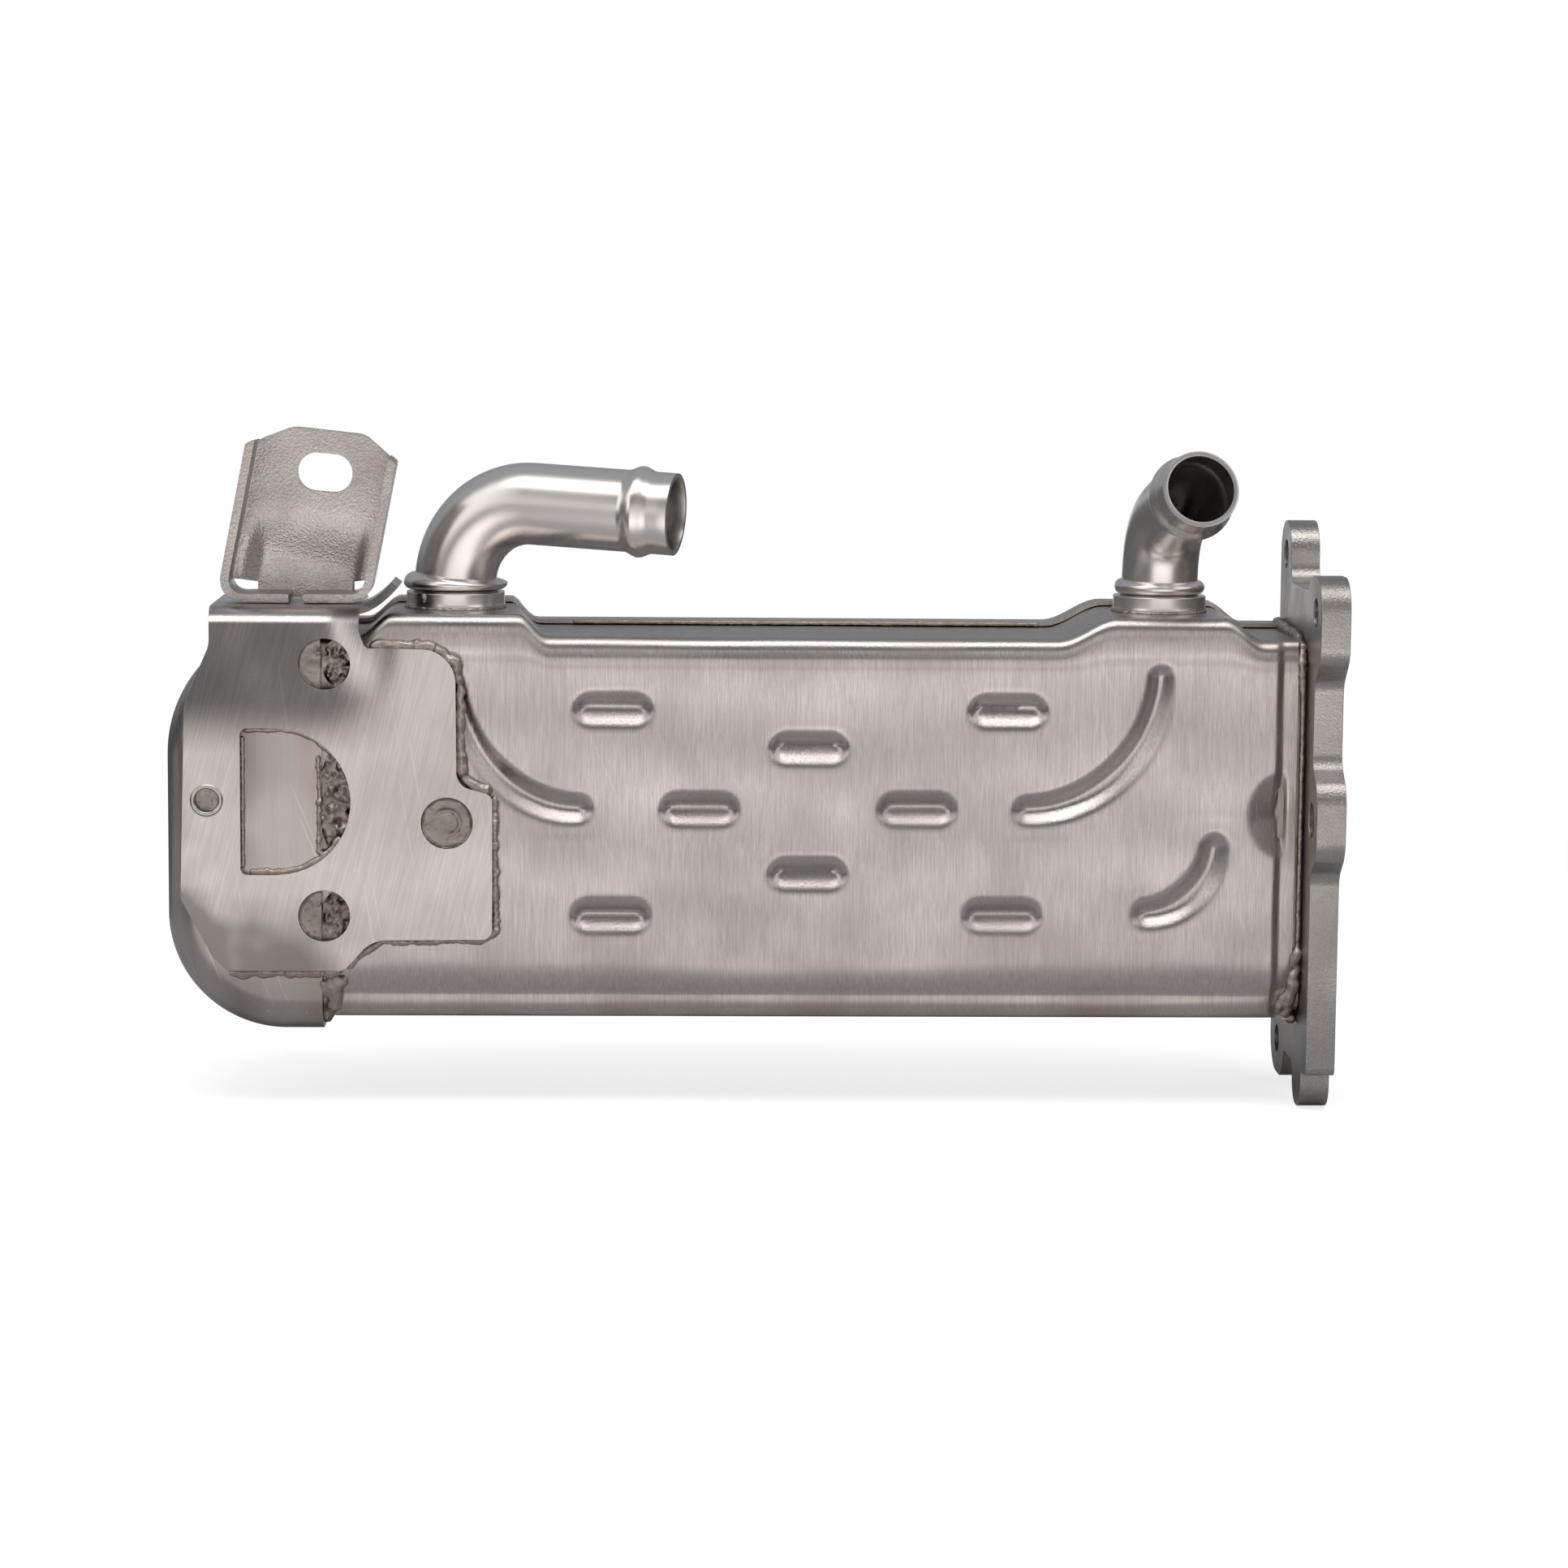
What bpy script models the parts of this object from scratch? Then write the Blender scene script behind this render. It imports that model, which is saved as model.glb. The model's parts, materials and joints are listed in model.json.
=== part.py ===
"""Stainless two-pass EGR cooler with a pressed jacket, return tank, gas flange and brackets.

Frame: the origin is the centre of the gas flange's mating face. +X points out of that face,
-Y is the side with the support plate, +Z is up, where both coolant pipes stand.
"""

import math

import bmesh
import bpy
from mathutils import Matrix, Vector

MM = 0.001

# Clearances
SEAT_GAP = 0.3 * MM
CUT_MARGIN = 3.0 * MM
LAP_GAP = 0.3 * MM

# Jacket
JACKET_LEFT = -246.0 * MM
JACKET_RIGHT = -9.2 * MM
JACKET_WALL = 1.0 * MM
JACKET_HALF_HEIGHT = 45.5 * MM
JACKET_HALF_DEPTH = 24.0 * MM
JACKET_BEND = 6.0 * MM
RIM_CLEARANCE = 1.2 * MM
BORDER_DROP = 1.0 * MM
BORDER_SLOPE = 2.0 * MM
RIGHT_BORDER = 3.3 * MM
LEFT_BORDER = 7.5 * MM

# Raised pads under the coolant pipes
PAD_HEIGHT = 5.2 * MM
INLET_X = -209.9 * MM
OUTLET_X = -40.0 * MM
PIPE_Y = 0.0 * MM
INLET_PAD_LEFT = 14.1 * MM
INLET_PAD_RIGHT = 15.9 * MM
INLET_RAMP_LEFT = 8.0 * MM
INLET_RAMP_RIGHT = 7.0 * MM
INLET_RAMP_SKEW = 4.0 * MM
OUTLET_PAD_LEFT = 12.5 * MM
OUTLET_PAD_RIGHT = 13.5 * MM
OUTLET_RAMP_LEFT = 14.0 * MM
OUTLET_RAMP_RIGHT = 9.0 * MM
RAMP_STEPS = 3

# Pressed dimples: centres as X and Z, and the stadium at mouth, middle and floor
DIMPLES = [
    (-171.9 * MM, JACKET_HALF_HEIGHT - 17.1 * MM),
    (-78.2 * MM, JACKET_HALF_HEIGHT - 17.0 * MM),
    (-125.4 * MM, JACKET_HALF_HEIGHT - 26.1 * MM),
    (-151.3 * MM, 4.7 * MM),
    (-99.6 * MM, 4.9 * MM),
    (-125.5 * MM, -10.7 * MM),
    (-172.3 * MM, 24.5 * MM - JACKET_HALF_HEIGHT),
    (-79.0 * MM, 24.8 * MM - JACKET_HALF_HEIGHT),
]
PRESS_DEPTH = 2.4 * MM
PRESS_MIDDLE = 0.62
PRESS_LEAD = 0.6 * MM
DIMPLE_MOUTH = (20.0 * MM, 10.0 * MM)
DIMPLE_MIDDLE = (17.4 * MM, 6.6 * MM)
DIMPLE_FLOOR = (15.0 * MM, 3.0 * MM)

# Pressed guide ribs: quarter ellipses given by centre, half axes and start and end angles
RIB_MOUTH_HALF = 4.4 * MM
RIB_FLOOR_HALF = 1.3 * MM
RIB_STATIONS = 8
RIBS = [
    ((-180.0 * MM, JACKET_HALF_HEIGHT - 9.5 * MM), (27.8 * MM, 31.3 * MM), 182.0, 270.0),
    ((-73.5 * MM, JACKET_HALF_HEIGHT - 7.5 * MM), (31.6 * MM, 33.2 * MM), 358.0, 270.0),
    ((-45.5 * MM, -2.5 * MM), (17.0 * MM, 17.6 * MM), 355.0, 273.0),
]

# Recess in the border that clears the middle flange bolt
NOTCH_Z = 4.0 * MM
NOTCH_HALF_HEIGHT = 10.5 * MM
NOTCH_REACH = 8.5 * MM
NOTCH_DEPTH = 2.0 * MM

# Gas flange
FLANGE_THICK = 7.0 * MM
FLANGE_FRONT_MARGIN = 9.0 * MM
FLANGE_BACK_INSET = 1.0 * MM
FLANGE_TOP_MARGIN = 12.0 * MM
EAR_REACH_FRONT = 8.0 * MM
NEAR_EAR_RISE = 4.0 * MM
NEAR_EAR_WIDTH = 17.0 * MM
FAR_EAR_RISE = 14.5 * MM
FAR_EAR_WIDTH = 16.5 * MM
FOOT_EAR_DROP = 9.5 * MM
FOOT_EAR_SETBACK = 7.5 * MM
FOOT_EAR_WIDTH = 13.0 * MM
LOW_EAR_DROP = 7.5 * MM
LOW_EAR_WIDTH = 21.0 * MM
LOBE_HALF = 13.5 * MM
LOBE_SLOPE = 6.0 * MM
EAR_HOLE = 3.5 * MM
LOBE_HOLE = 4.2 * MM
WEB_HALF = 5.0 * MM
PORT_MARGIN = 6.5 * MM
PORT_SIDE_MARGIN = 6.0 * MM
PORT_CORNER = 9.0 * MM

# Headers, tubes and fins
HEADER_WALL = 1.2 * MM
FLANGE_PAN = 6.0 * MM
TANK_PAN = 7.0 * MM
TUBE_STICKOUT = 1.5 * MM
TUBE_COLUMNS = 5
TUBE_THICK = 5.6 * MM
TUBE_SIDE_MARGIN = 4.0 * MM
TUBE_END_MARGIN = 4.2 * MM
PASS_HALF_GAP = 3.3 * MM
TUBE_CORNER = 1.8 * MM
TUBE_WALL = 0.5 * MM
FIN_SHEET = 0.3 * MM
FIN_WAVES = 7
FIN_SETBACK = 10.0 * MM
DIVIDER_THICK = 3.0 * MM

# Return tank
TANK_WALL = 1.8 * MM
TANK_LAP = 5.5 * MM
TANK_LEFT = -277.4 * MM
TANK_LOW_CORNER = 28.0 * MM
TANK_HIGH_CORNER = 32.0 * MM
TANK_EDGE = 8.0 * MM

# Coolant pipes and their collars
PIPE_WALL = 1.2 * MM
INLET_RADIUS = 9.8 * MM
OUTLET_RADIUS = 9.2 * MM
COLLAR_WALL = 1.7 * MM
SPIGOT_WALL = 1.0 * MM
COLLAR_HEIGHT = 3.6 * MM
RING_HEIGHT = 3.4 * MM
INLET_RING_RISE = 2.7 * MM
OUTLET_RING_RISE = 1.7 * MM
END_BEAD_RISE = 1.1 * MM
END_BEAD_LENGTH = 7.0 * MM
END_BEAD_SETBACK = 8.5 * MM
PIPE_SIDES = 16
PIPE_STATIONS = 8
PATH_STEPS = 28

# Mouths of the pipes from the middle of their pads, and where the mouths point
INLET_REACH = (52.7 * MM, -14.5 * MM, 23.4 * MM)
INLET_TURN = 74.5
INLET_RISE = -2.9
INLET_RUN = 35.2 * MM
INLET_PULLS = (10.6 * MM, 10.9 * MM)
OUTLET_REACH = (5.4 * MM, -32.0 * MM, 31.3 * MM)
OUTLET_TURN = 8.0
OUTLET_RISE = 19.0
OUTLET_PULLS = (20.0 * MM, 22.0 * MM)

# Support plate
PLATE_THICK = 2.0 * MM
PLATE_FOLD = 4.0 * MM
PLATE_FOLD_RIGHT = -231.5 * MM
PLATE_LEFT = -273.6 * MM
PLATE_RIGHT = -200.2 * MM
PLATE_BOTTOM = -33.7 * MM
PLATE_HIP_Z = -16.5 * MM
PLATE_HEEL_SETBACK = 35.0 * MM
PLATE_STEP_SETBACK = 28.4 * MM
PLATE_STEP_RISE = 7.4 * MM
PLATE_TONGUE_REACH = 8.4 * MM
PLATE_TONGUE_Z = 8.4 * MM
PLATE_SHOULDER_DROP = 9.1 * MM
PLATE_LEFT_DROP = 22.6 * MM
PLATE_NOTCH_DROP = 5.6 * MM
PLATFORM_GAP = 1.7 * MM
PLATFORM_OVERHANG = 0.7 * MM
PLATFORM_BACK = 10.0 * MM
BRAZE_HOLE = 6.1 * MM
TOP_BRAZE_HOLE_X = -239.6 * MM
TOP_BRAZE_HOLE_DROP = 13.4 * MM
LOW_BRAZE_HOLES = [(-239.8 * MM, -20.5 * MM), (-210.9 * MM, 1.7 * MM)]
WINDOW_CENTRE = (-250.8 * MM, 6.6 * MM)
WINDOW_RADIUS = 17.4 * MM
WINDOW_LEFT = 8.6 * MM
WINDOW_CORNER = 1.6 * MM
WINDOW_STEPS = 14
LIP_HOLE_CENTRE = (-267.3 * MM, 6.9 * MM)
LIP_HOLE_RADIUS = 2.7 * MM
LIP_RADIUS = 3.9 * MM
LIP_RISE = 0.5 * MM
EAR_REACH = 7.6 * MM
EAR_LIFT = 5.8 * MM
EAR_BACK = -6.5 * MM

# Mounting tab
TAB_THICK = 2.0 * MM
TAB_FRONT = -18.0 * MM
TAB_BACK = -4.0 * MM
TAB_LEAN = 11.0
TAB_WIDTH = 35.5 * MM
TAB_RIGHT = -230.95 * MM
TAB_TOP_MARGIN = 10.4 * MM
TAB_LEFT_TOP_MARGIN = 3.8 * MM
TAB_RIGHT_TOP_MARGIN = 6.1 * MM
TAB_TOP_CORNER = 9.0 * MM
TAB_BEND = 5.5 * MM
TAB_EDGE_BEND = 3.0 * MM
BEND_STEPS = 3
TAB_FEET_GAP = 3.4 * MM
TAB_FEET_OFFSET = 1.5 * MM
TAB_RELIEF_TOP = 4.4 * MM
TAB_RELIEF_SLOPE = 0.4 * MM
TAB_PANEL_LOW = 7.0 * MM
TAB_LEFT_RELIEF = 8.8 * MM
TAB_RIGHT_RELIEF = 3.05 * MM
TAB_PANEL_SET = 1.8 * MM
TAB_PANEL_TOP = 20.0 * MM
TAB_PANEL_FADE = 4.0 * MM
TAB_PANEL_EDGE = 5.8 * MM
TAB_PANEL_FAR_MARGIN = 4.4 * MM
TAB_PANEL_SPREAD = 1.5 * MM
SLOT_LENGTH = 13.0 * MM
SLOT_WIDTH = 9.0 * MM
SLOT_TILT = 5.0
SLOT_UP = 34.4 * MM
SLOT_OFFSET = 1.15 * MM

ARC_STEP = 22.5

STEEL = (0.62, 0.59, 0.57)
FLANGE_STEEL = (0.55, 0.53, 0.51)
BRACKET_STEEL = (0.60, 0.57, 0.55)
TAB_STEEL = (0.66, 0.63, 0.61)
INNER_STEEL = (0.50, 0.48, 0.46)

# Sizes that follow from the driving dimensions
BACK_HALF_HEIGHT = JACKET_HALF_HEIGHT + LAP_GAP + JACKET_WALL
FRONT_RIM_Y = JACKET_HALF_DEPTH - JACKET_BEND
BACK_RIM_Y = PIPE_Y + INLET_RADIUS + SEAT_GAP + COLLAR_WALL + RIM_CLEARANCE
INNER_FRONT = -JACKET_HALF_DEPTH + BORDER_DROP + JACKET_WALL
INNER_BACK = JACKET_HALF_DEPTH - JACKET_WALL
PAD_TOP = JACKET_HALF_HEIGHT + PAD_HEIGHT
TANK_INNER_HALF = BACK_HALF_HEIGHT + SEAT_GAP
TANK_INNER_FRONT = -JACKET_HALF_DEPTH + BORDER_DROP - SEAT_GAP
TANK_INNER_BACK = JACKET_HALF_DEPTH + SEAT_GAP
TANK_FRONT = TANK_INNER_FRONT - TANK_WALL
TANK_MOUTH = JACKET_LEFT + TANK_LAP
PLATE_BACK_FACE = TANK_FRONT - SEAT_GAP
PLATE_FRONT_FACE = PLATE_BACK_FACE - PLATE_THICK
PLATFORM_TOP = TANK_INNER_HALF + TANK_WALL + PLATFORM_GAP + PLATE_THICK
BRAZE_HOLES = [(TOP_BRAZE_HOLE_X, PLATFORM_TOP - TOP_BRAZE_HOLE_DROP), *LOW_BRAZE_HOLES]
TAB_FOOT_LEVEL = PLATFORM_TOP + SEAT_GAP
TAB_LEFT = TAB_RIGHT - TAB_WIDTH * math.cos(math.radians(TAB_LEAN))
TAB_MIDDLE = (TAB_LEFT + TAB_RIGHT) / 2.0 + TAB_FEET_OFFSET
TAB_LEFT_FOOT_END = TAB_MIDDLE - TAB_FEET_GAP / 2.0
TAB_RIGHT_FOOT_END = TAB_MIDDLE + TAB_FEET_GAP / 2.0
TAB_TOP = SLOT_UP + TAB_TOP_MARGIN
TAB_LEFT_TOP = SLOT_UP + TAB_LEFT_TOP_MARGIN
TAB_RIGHT_TOP = SLOT_UP + TAB_RIGHT_TOP_MARGIN
PLATE_FOLD_LEFT = TAB_LEFT - PLATFORM_OVERHANG
FLANGE_TOP = JACKET_HALF_HEIGHT + FLANGE_TOP_MARGIN
FLANGE_BOTTOM = -FLANGE_TOP
FLANGE_FRONT = -JACKET_HALF_DEPTH - FLANGE_FRONT_MARGIN
FLANGE_BACK = JACKET_HALF_DEPTH - FLANGE_BACK_INSET
EAR_FRONT = FLANGE_FRONT - EAR_REACH_FRONT
NEAR_EAR_TOP = FLANGE_TOP + NEAR_EAR_RISE
FAR_EAR_TOP = FLANGE_TOP + FAR_EAR_RISE
FOOT_EAR_BOTTOM = FLANGE_BOTTOM - FOOT_EAR_DROP
FOOT_EAR_FRONT = FLANGE_FRONT + FOOT_EAR_SETBACK
LOW_EAR_BOTTOM = FLANGE_BOTTOM - LOW_EAR_DROP
PORT_TOP = JACKET_HALF_HEIGHT - PORT_MARGIN
PORT_HALF_DEPTH = JACKET_HALF_DEPTH - PORT_SIDE_MARGIN
TUBE_HEIGHT = JACKET_HALF_HEIGHT - TUBE_END_MARGIN - PASS_HALF_GAP
TUBE_PITCH = (2.0 * (JACKET_HALF_DEPTH - TUBE_SIDE_MARGIN) - TUBE_THICK) / (TUBE_COLUMNS - 1)
ROW_Z = PASS_HALF_GAP + TUBE_HEIGHT / 2.0
FLANGE_INNER_FACE = -FLANGE_THICK
FLANGE_HEADER_MOUTH = FLANGE_INNER_FACE - SEAT_GAP
FLANGE_HEADER_FACE = FLANGE_HEADER_MOUTH - FLANGE_PAN
TANK_HEADER_FACE = JACKET_LEFT + TANK_PAN
TUBE_RIGHT = FLANGE_HEADER_FACE + HEADER_WALL + TUBE_STICKOUT
TUBE_LEFT = TANK_HEADER_FACE - HEADER_WALL - TUBE_STICKOUT


def clear_scene():
    """Remove every object that the file holds."""
    for item in list(bpy.data.objects):
        bpy.data.objects.remove(item, do_unlink=True)


def new_collection(name):
    """Make a collection and link it to the scene."""
    group = bpy.data.collections.new(name)
    bpy.context.scene.collection.children.link(group)
    return group


def steel(name, colour, roughness):
    """Make a metallic Principled material."""
    material = bpy.data.materials.new(name)
    material.use_nodes = True
    shader = material.node_tree.nodes["Principled BSDF"]
    shader.inputs["Base Color"].default_value = (*colour, 1.0)
    shader.inputs["Roughness"].default_value = roughness
    shader.inputs["Metallic"].default_value = 1.0
    return material


def add_mesh(name, mesh, group):
    """Link a mesh as a named object."""
    item = bpy.data.objects.new(name, mesh)
    group.objects.link(item)
    return item


def finish_piece(item, material):
    """Give a piece its material and smooth its round faces."""
    item.data.materials.clear()
    item.data.materials.append(material)
    item.data.shade_smooth()
    item.data.set_sharp_from_angle(angle=math.radians(35.0))
    return item


def rounded(corners, step=ARC_STEP):
    """Turn corners given as (u, v, radius) into an outline with arcs of that radius."""
    outline = []
    count = len(corners)
    for index, (u, v, radius) in enumerate(corners):
        corner = Vector((u, v))
        before = Vector(corners[index - 1][:2])
        after = Vector(corners[(index + 1) % count][:2])
        to_before = (before - corner).normalized()
        to_after = (after - corner).normalized()
        opening = to_before.angle(to_after)
        turn = math.pi - opening
        if radius <= 0.0 or turn < math.radians(2.0):
            outline.append((u, v))
            continue
        reach = radius * math.tan(turn / 2.0)
        centre = corner + (to_before + to_after).normalized() * (radius / math.sin(opening / 2.0))
        start = corner + to_before * reach - centre
        segments = max(1, round(math.degrees(turn) / step))
        side = 1.0 if to_before.cross(to_after) < 0.0 else -1.0
        for part in range(segments + 1):
            swing = Matrix.Rotation(side * turn * part / segments, 2)
            point = centre + swing @ start
            outline.append((point.x, point.y))
    return outline


def circle(centre, radius, sides=16):
    """Return a circle as an outline."""
    turns = [2.0 * math.pi * index / sides for index in range(sides)]
    return [(centre[0] + radius * math.cos(turn), centre[1] + radius * math.sin(turn)) for turn in turns]


def stadium(centre, length, width, end_steps=4):
    """Return a horizontal stadium as an outline."""
    radius = width / 2.0
    straight = length / 2.0 - radius
    outline = []
    for side, first in ((1.0, -90.0), (-1.0, 90.0)):
        for part in range(end_steps + 1):
            angle = math.radians(first + 180.0 * part / end_steps)
            u = centre[0] + side * straight + radius * math.cos(angle)
            outline.append((u, centre[1] + radius * math.sin(angle)))
    return outline


PLANES = {
    "XZ": Matrix(((1, 0, 0, 0), (0, 0, -1, 0), (0, 1, 0, 0), (0, 0, 0, 1))),
    "YZ": Matrix(((0, 0, 1, 0), (1, 0, 0, 0), (0, 1, 0, 0), (0, 0, 0, 1))),
    "XY": Matrix.Identity(4),
}


def prism(name, loops, low, high, plane, group):
    """Extrude a flat outline with holes between two levels along the plane's normal axis."""
    curve = bpy.data.curves.new(name, "CURVE")
    curve.dimensions = "2D"
    curve.fill_mode = "BOTH"
    curve.extrude = (high - low) / 2.0
    for loop in loops:
        spline = curve.splines.new("POLY")
        spline.points.add(len(loop) - 1)
        for point, (u, v) in zip(spline.points, loop):
            point.co = (u, v, 0.0, 1.0)
        spline.use_cyclic_u = True
    holder = bpy.data.objects.new(name + "_curve", curve)
    group.objects.link(holder)
    middle = (high + low) / 2.0
    if plane == "XZ":
        middle = -middle
    holder.matrix_world = PLANES[plane] @ Matrix.Translation((0.0, 0.0, middle))
    return mesh_from_curve(name, holder, group)


def mesh_from_curve(name, holder, group):
    """Turn a curve object into a welded mesh object and remove the curve."""
    bpy.context.view_layer.update()
    depsgraph = bpy.context.evaluated_depsgraph_get()
    mesh = bpy.data.meshes.new_from_object(holder.evaluated_get(depsgraph))
    mesh.transform(holder.matrix_world)
    weld = bmesh.new()
    weld.from_mesh(mesh)
    bmesh.ops.remove_doubles(weld, verts=weld.verts, dist=0.00001)
    bmesh.ops.recalc_face_normals(weld, faces=weld.faces)
    weld.to_mesh(mesh)
    weld.free()
    bpy.data.objects.remove(holder, do_unlink=True)
    mesh.name = name
    return add_mesh(name, mesh, group)


def loft(name, rings, group):
    """Join rings of equal point count into one closed body with flat ends."""
    build = bmesh.new()
    add_loft(build, rings)
    mesh = bpy.data.meshes.new(name)
    build.to_mesh(mesh)
    build.free()
    return add_mesh(name, mesh, group)


def add_loft(build, rings):
    """Add one closed loft to a bmesh and turn its faces out."""
    layers = [[build.verts.new(point) for point in ring] for ring in rings]
    faces = [build.faces.new(layers[0]), build.faces.new(layers[-1])]
    count = len(rings[0])
    for lower, upper in zip(layers, layers[1:]):
        for index in range(count):
            after = (index + 1) % count
            faces.append(build.faces.new((lower[index], lower[after], upper[after], upper[index])))
    bmesh.ops.recalc_face_normals(build, faces=faces)


def add_cylinder(name, centre, radius, depth, axis, group, sides=24):
    """Add a capped cylinder primitive along X, Y or Z."""
    build = bmesh.new()
    bmesh.ops.create_cone(
        build, cap_ends=True, segments=sides, radius1=radius, radius2=radius, depth=depth
    )
    turn = {"X": Matrix.Rotation(math.pi / 2.0, 4, "Y"), "Y": Matrix.Rotation(math.pi / 2.0, 4, "X")}
    bmesh.ops.transform(build, matrix=turn.get(axis, Matrix.Identity(4)), verts=build.verts)
    bmesh.ops.translate(build, vec=Vector(centre), verts=build.verts)
    mesh = bpy.data.meshes.new(name)
    build.to_mesh(mesh)
    build.free()
    return add_mesh(name, mesh, group)


def combine(item, other, operation):
    """Add an exact Boolean modifier and hide the other object as a cutter."""
    modifier = item.modifiers.new(operation.title() + " " + other.name, "BOOLEAN")
    modifier.operation = operation
    modifier.solver = "EXACT"
    modifier.object = other
    other.hide_render = True
    other.display_type = "WIRE"


def turned(name, profile, centre, material, group, steps=28):
    """Spin a closed (radius, height) profile round a vertical axis with a Screw modifier."""
    mesh = bpy.data.meshes.new(name)
    points = [(radius, 0.0, height) for radius, height in profile]
    edges = [(index, (index + 1) % len(points)) for index in range(len(points))]
    mesh.from_pydata(points, edges, [])
    item = add_mesh(name, mesh, group)
    item.location = centre
    screw = item.modifiers.new("Turned", "SCREW")
    screw.steps = steps
    screw.render_steps = steps
    screw.merge_threshold = 0.00001
    screw.use_merge_vertices = True
    item.data.materials.append(material)
    return item


def smooth_ramp(share):
    """Ease from 0 to 1."""
    share = min(max(share, 0.0), 1.0)
    return share * share * (3.0 - 2.0 * share)


def pad_rise(x):
    """Height of the raised pads above the jacket's top at a place along X."""
    rise = 0.0
    pads = (
        (INLET_X, INLET_PAD_LEFT, INLET_PAD_RIGHT, INLET_RAMP_LEFT, INLET_RAMP_RIGHT),
        (OUTLET_X, OUTLET_PAD_LEFT, OUTLET_PAD_RIGHT, OUTLET_RAMP_LEFT, OUTLET_RAMP_RIGHT),
    )
    for centre, left, right, ramp_left, ramp_right in pads:
        if x < centre:
            share = 1.0 + (x - (centre - left)) / ramp_left
        else:
            share = 1.0 - (x - (centre + right)) / ramp_right
        rise = max(rise, PAD_HEIGHT * smooth_ramp(share))
    return rise


def ramp_skew(station, y):
    """Shift of the left pad's right ramp, which leans towards the pipe at the back."""
    start = INLET_X + INLET_PAD_RIGHT
    if not start - LAP_GAP < station < start + INLET_RAMP_RIGHT + LAP_GAP:
        return 0.0
    return -INLET_RAMP_SKEW * (y + JACKET_HALF_DEPTH) / (2.0 * JACKET_HALF_DEPTH)


def border_drop(x):
    """Depth of the jacket's lower border at both ends."""
    from_right = (JACKET_RIGHT - RIGHT_BORDER - x) / BORDER_SLOPE
    from_left = (x - JACKET_LEFT - LEFT_BORDER) / BORDER_SLOPE
    return BORDER_DROP * (1.0 - min(max(min(from_left, from_right), 0.0), 1.0))


def jacket_stations():
    """Places along X where the jacket's section changes."""
    places = {JACKET_LEFT, JACKET_LEFT + LEFT_BORDER, JACKET_LEFT + LEFT_BORDER + BORDER_SLOPE}
    places |= {JACKET_RIGHT, JACKET_RIGHT - RIGHT_BORDER, JACKET_RIGHT - RIGHT_BORDER - BORDER_SLOPE}
    ramps = (
        (INLET_X - INLET_PAD_LEFT - INLET_RAMP_LEFT, INLET_RAMP_LEFT),
        (INLET_X + INLET_PAD_RIGHT, INLET_RAMP_RIGHT),
        (OUTLET_X - OUTLET_PAD_LEFT - OUTLET_RAMP_LEFT, OUTLET_RAMP_LEFT),
        (OUTLET_X + OUTLET_PAD_RIGHT, OUTLET_RAMP_RIGHT),
    )
    for start, length in ramps:
        places |= {start + length * part / (RAMP_STEPS + 1) for part in range(RAMP_STEPS + 2)}
    return sorted(places)


def pan_ring(x, face, rim, half_height, bend, station, bend_steps=4):
    """Section of a pressed pan: from the top rim round the face to the bottom rim."""
    sign = 1.0 if face > rim else -1.0
    top = half_height + pad_rise(station)
    ring = [(rim, top)]
    for centre_z, first in ((top - bend, 90.0), (-half_height + bend, 0.0)):
        for part in range(bend_steps + 1):
            angle = math.radians(first - 90.0 * part / bend_steps)
            y = face - sign * bend + sign * bend * math.cos(angle)
            ring.append((y, centre_z + bend * math.sin(angle)))
    ring.append((rim, -half_height))
    return [(x + ramp_skew(station, y), y, z) for y, z in ring]


def pan_body(name, side, inset, rim, half_height, group):
    """Solid block of one jacket half, grown or shrunk by the wall."""
    stations = jacket_stations()
    rings = []
    for station in stations:
        face = side * (JACKET_HALF_DEPTH - inset)
        if side < 0:
            face += border_drop(station)
        x = station
        if inset > 0.0 and station in (stations[0], stations[-1]):
            x += CUT_MARGIN if station == stations[-1] else -CUT_MARGIN
        rings.append(pan_ring(x, face, rim, half_height - inset, JACKET_BEND - inset, station))
    return loft(name, rings, group)


def press_rings(sizes, depths, centre, side, grow):
    """Stacked stadium rings of one dimple, cut into the face or grown for its inner bump."""
    rings = []
    for (length, width), depth in zip(sizes, depths):
        y = side * (JACKET_HALF_DEPTH - depth)
        outline = stadium(centre, length + 2.0 * grow, width + 2.0 * grow)
        rings.append([(u, y, v) for u, v in outline])
    return rings


def add_dimples(build, side, grow):
    """Add the dimples as closed lofts."""
    depths = (-grow - PRESS_LEAD, 0.0, PRESS_DEPTH * PRESS_MIDDLE, PRESS_DEPTH + grow)
    sizes = (DIMPLE_MOUTH, DIMPLE_MOUTH, DIMPLE_MIDDLE, DIMPLE_FLOOR)
    for centre in DIMPLES:
        add_loft(build, press_rings(sizes, depths, centre, side, grow))


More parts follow.
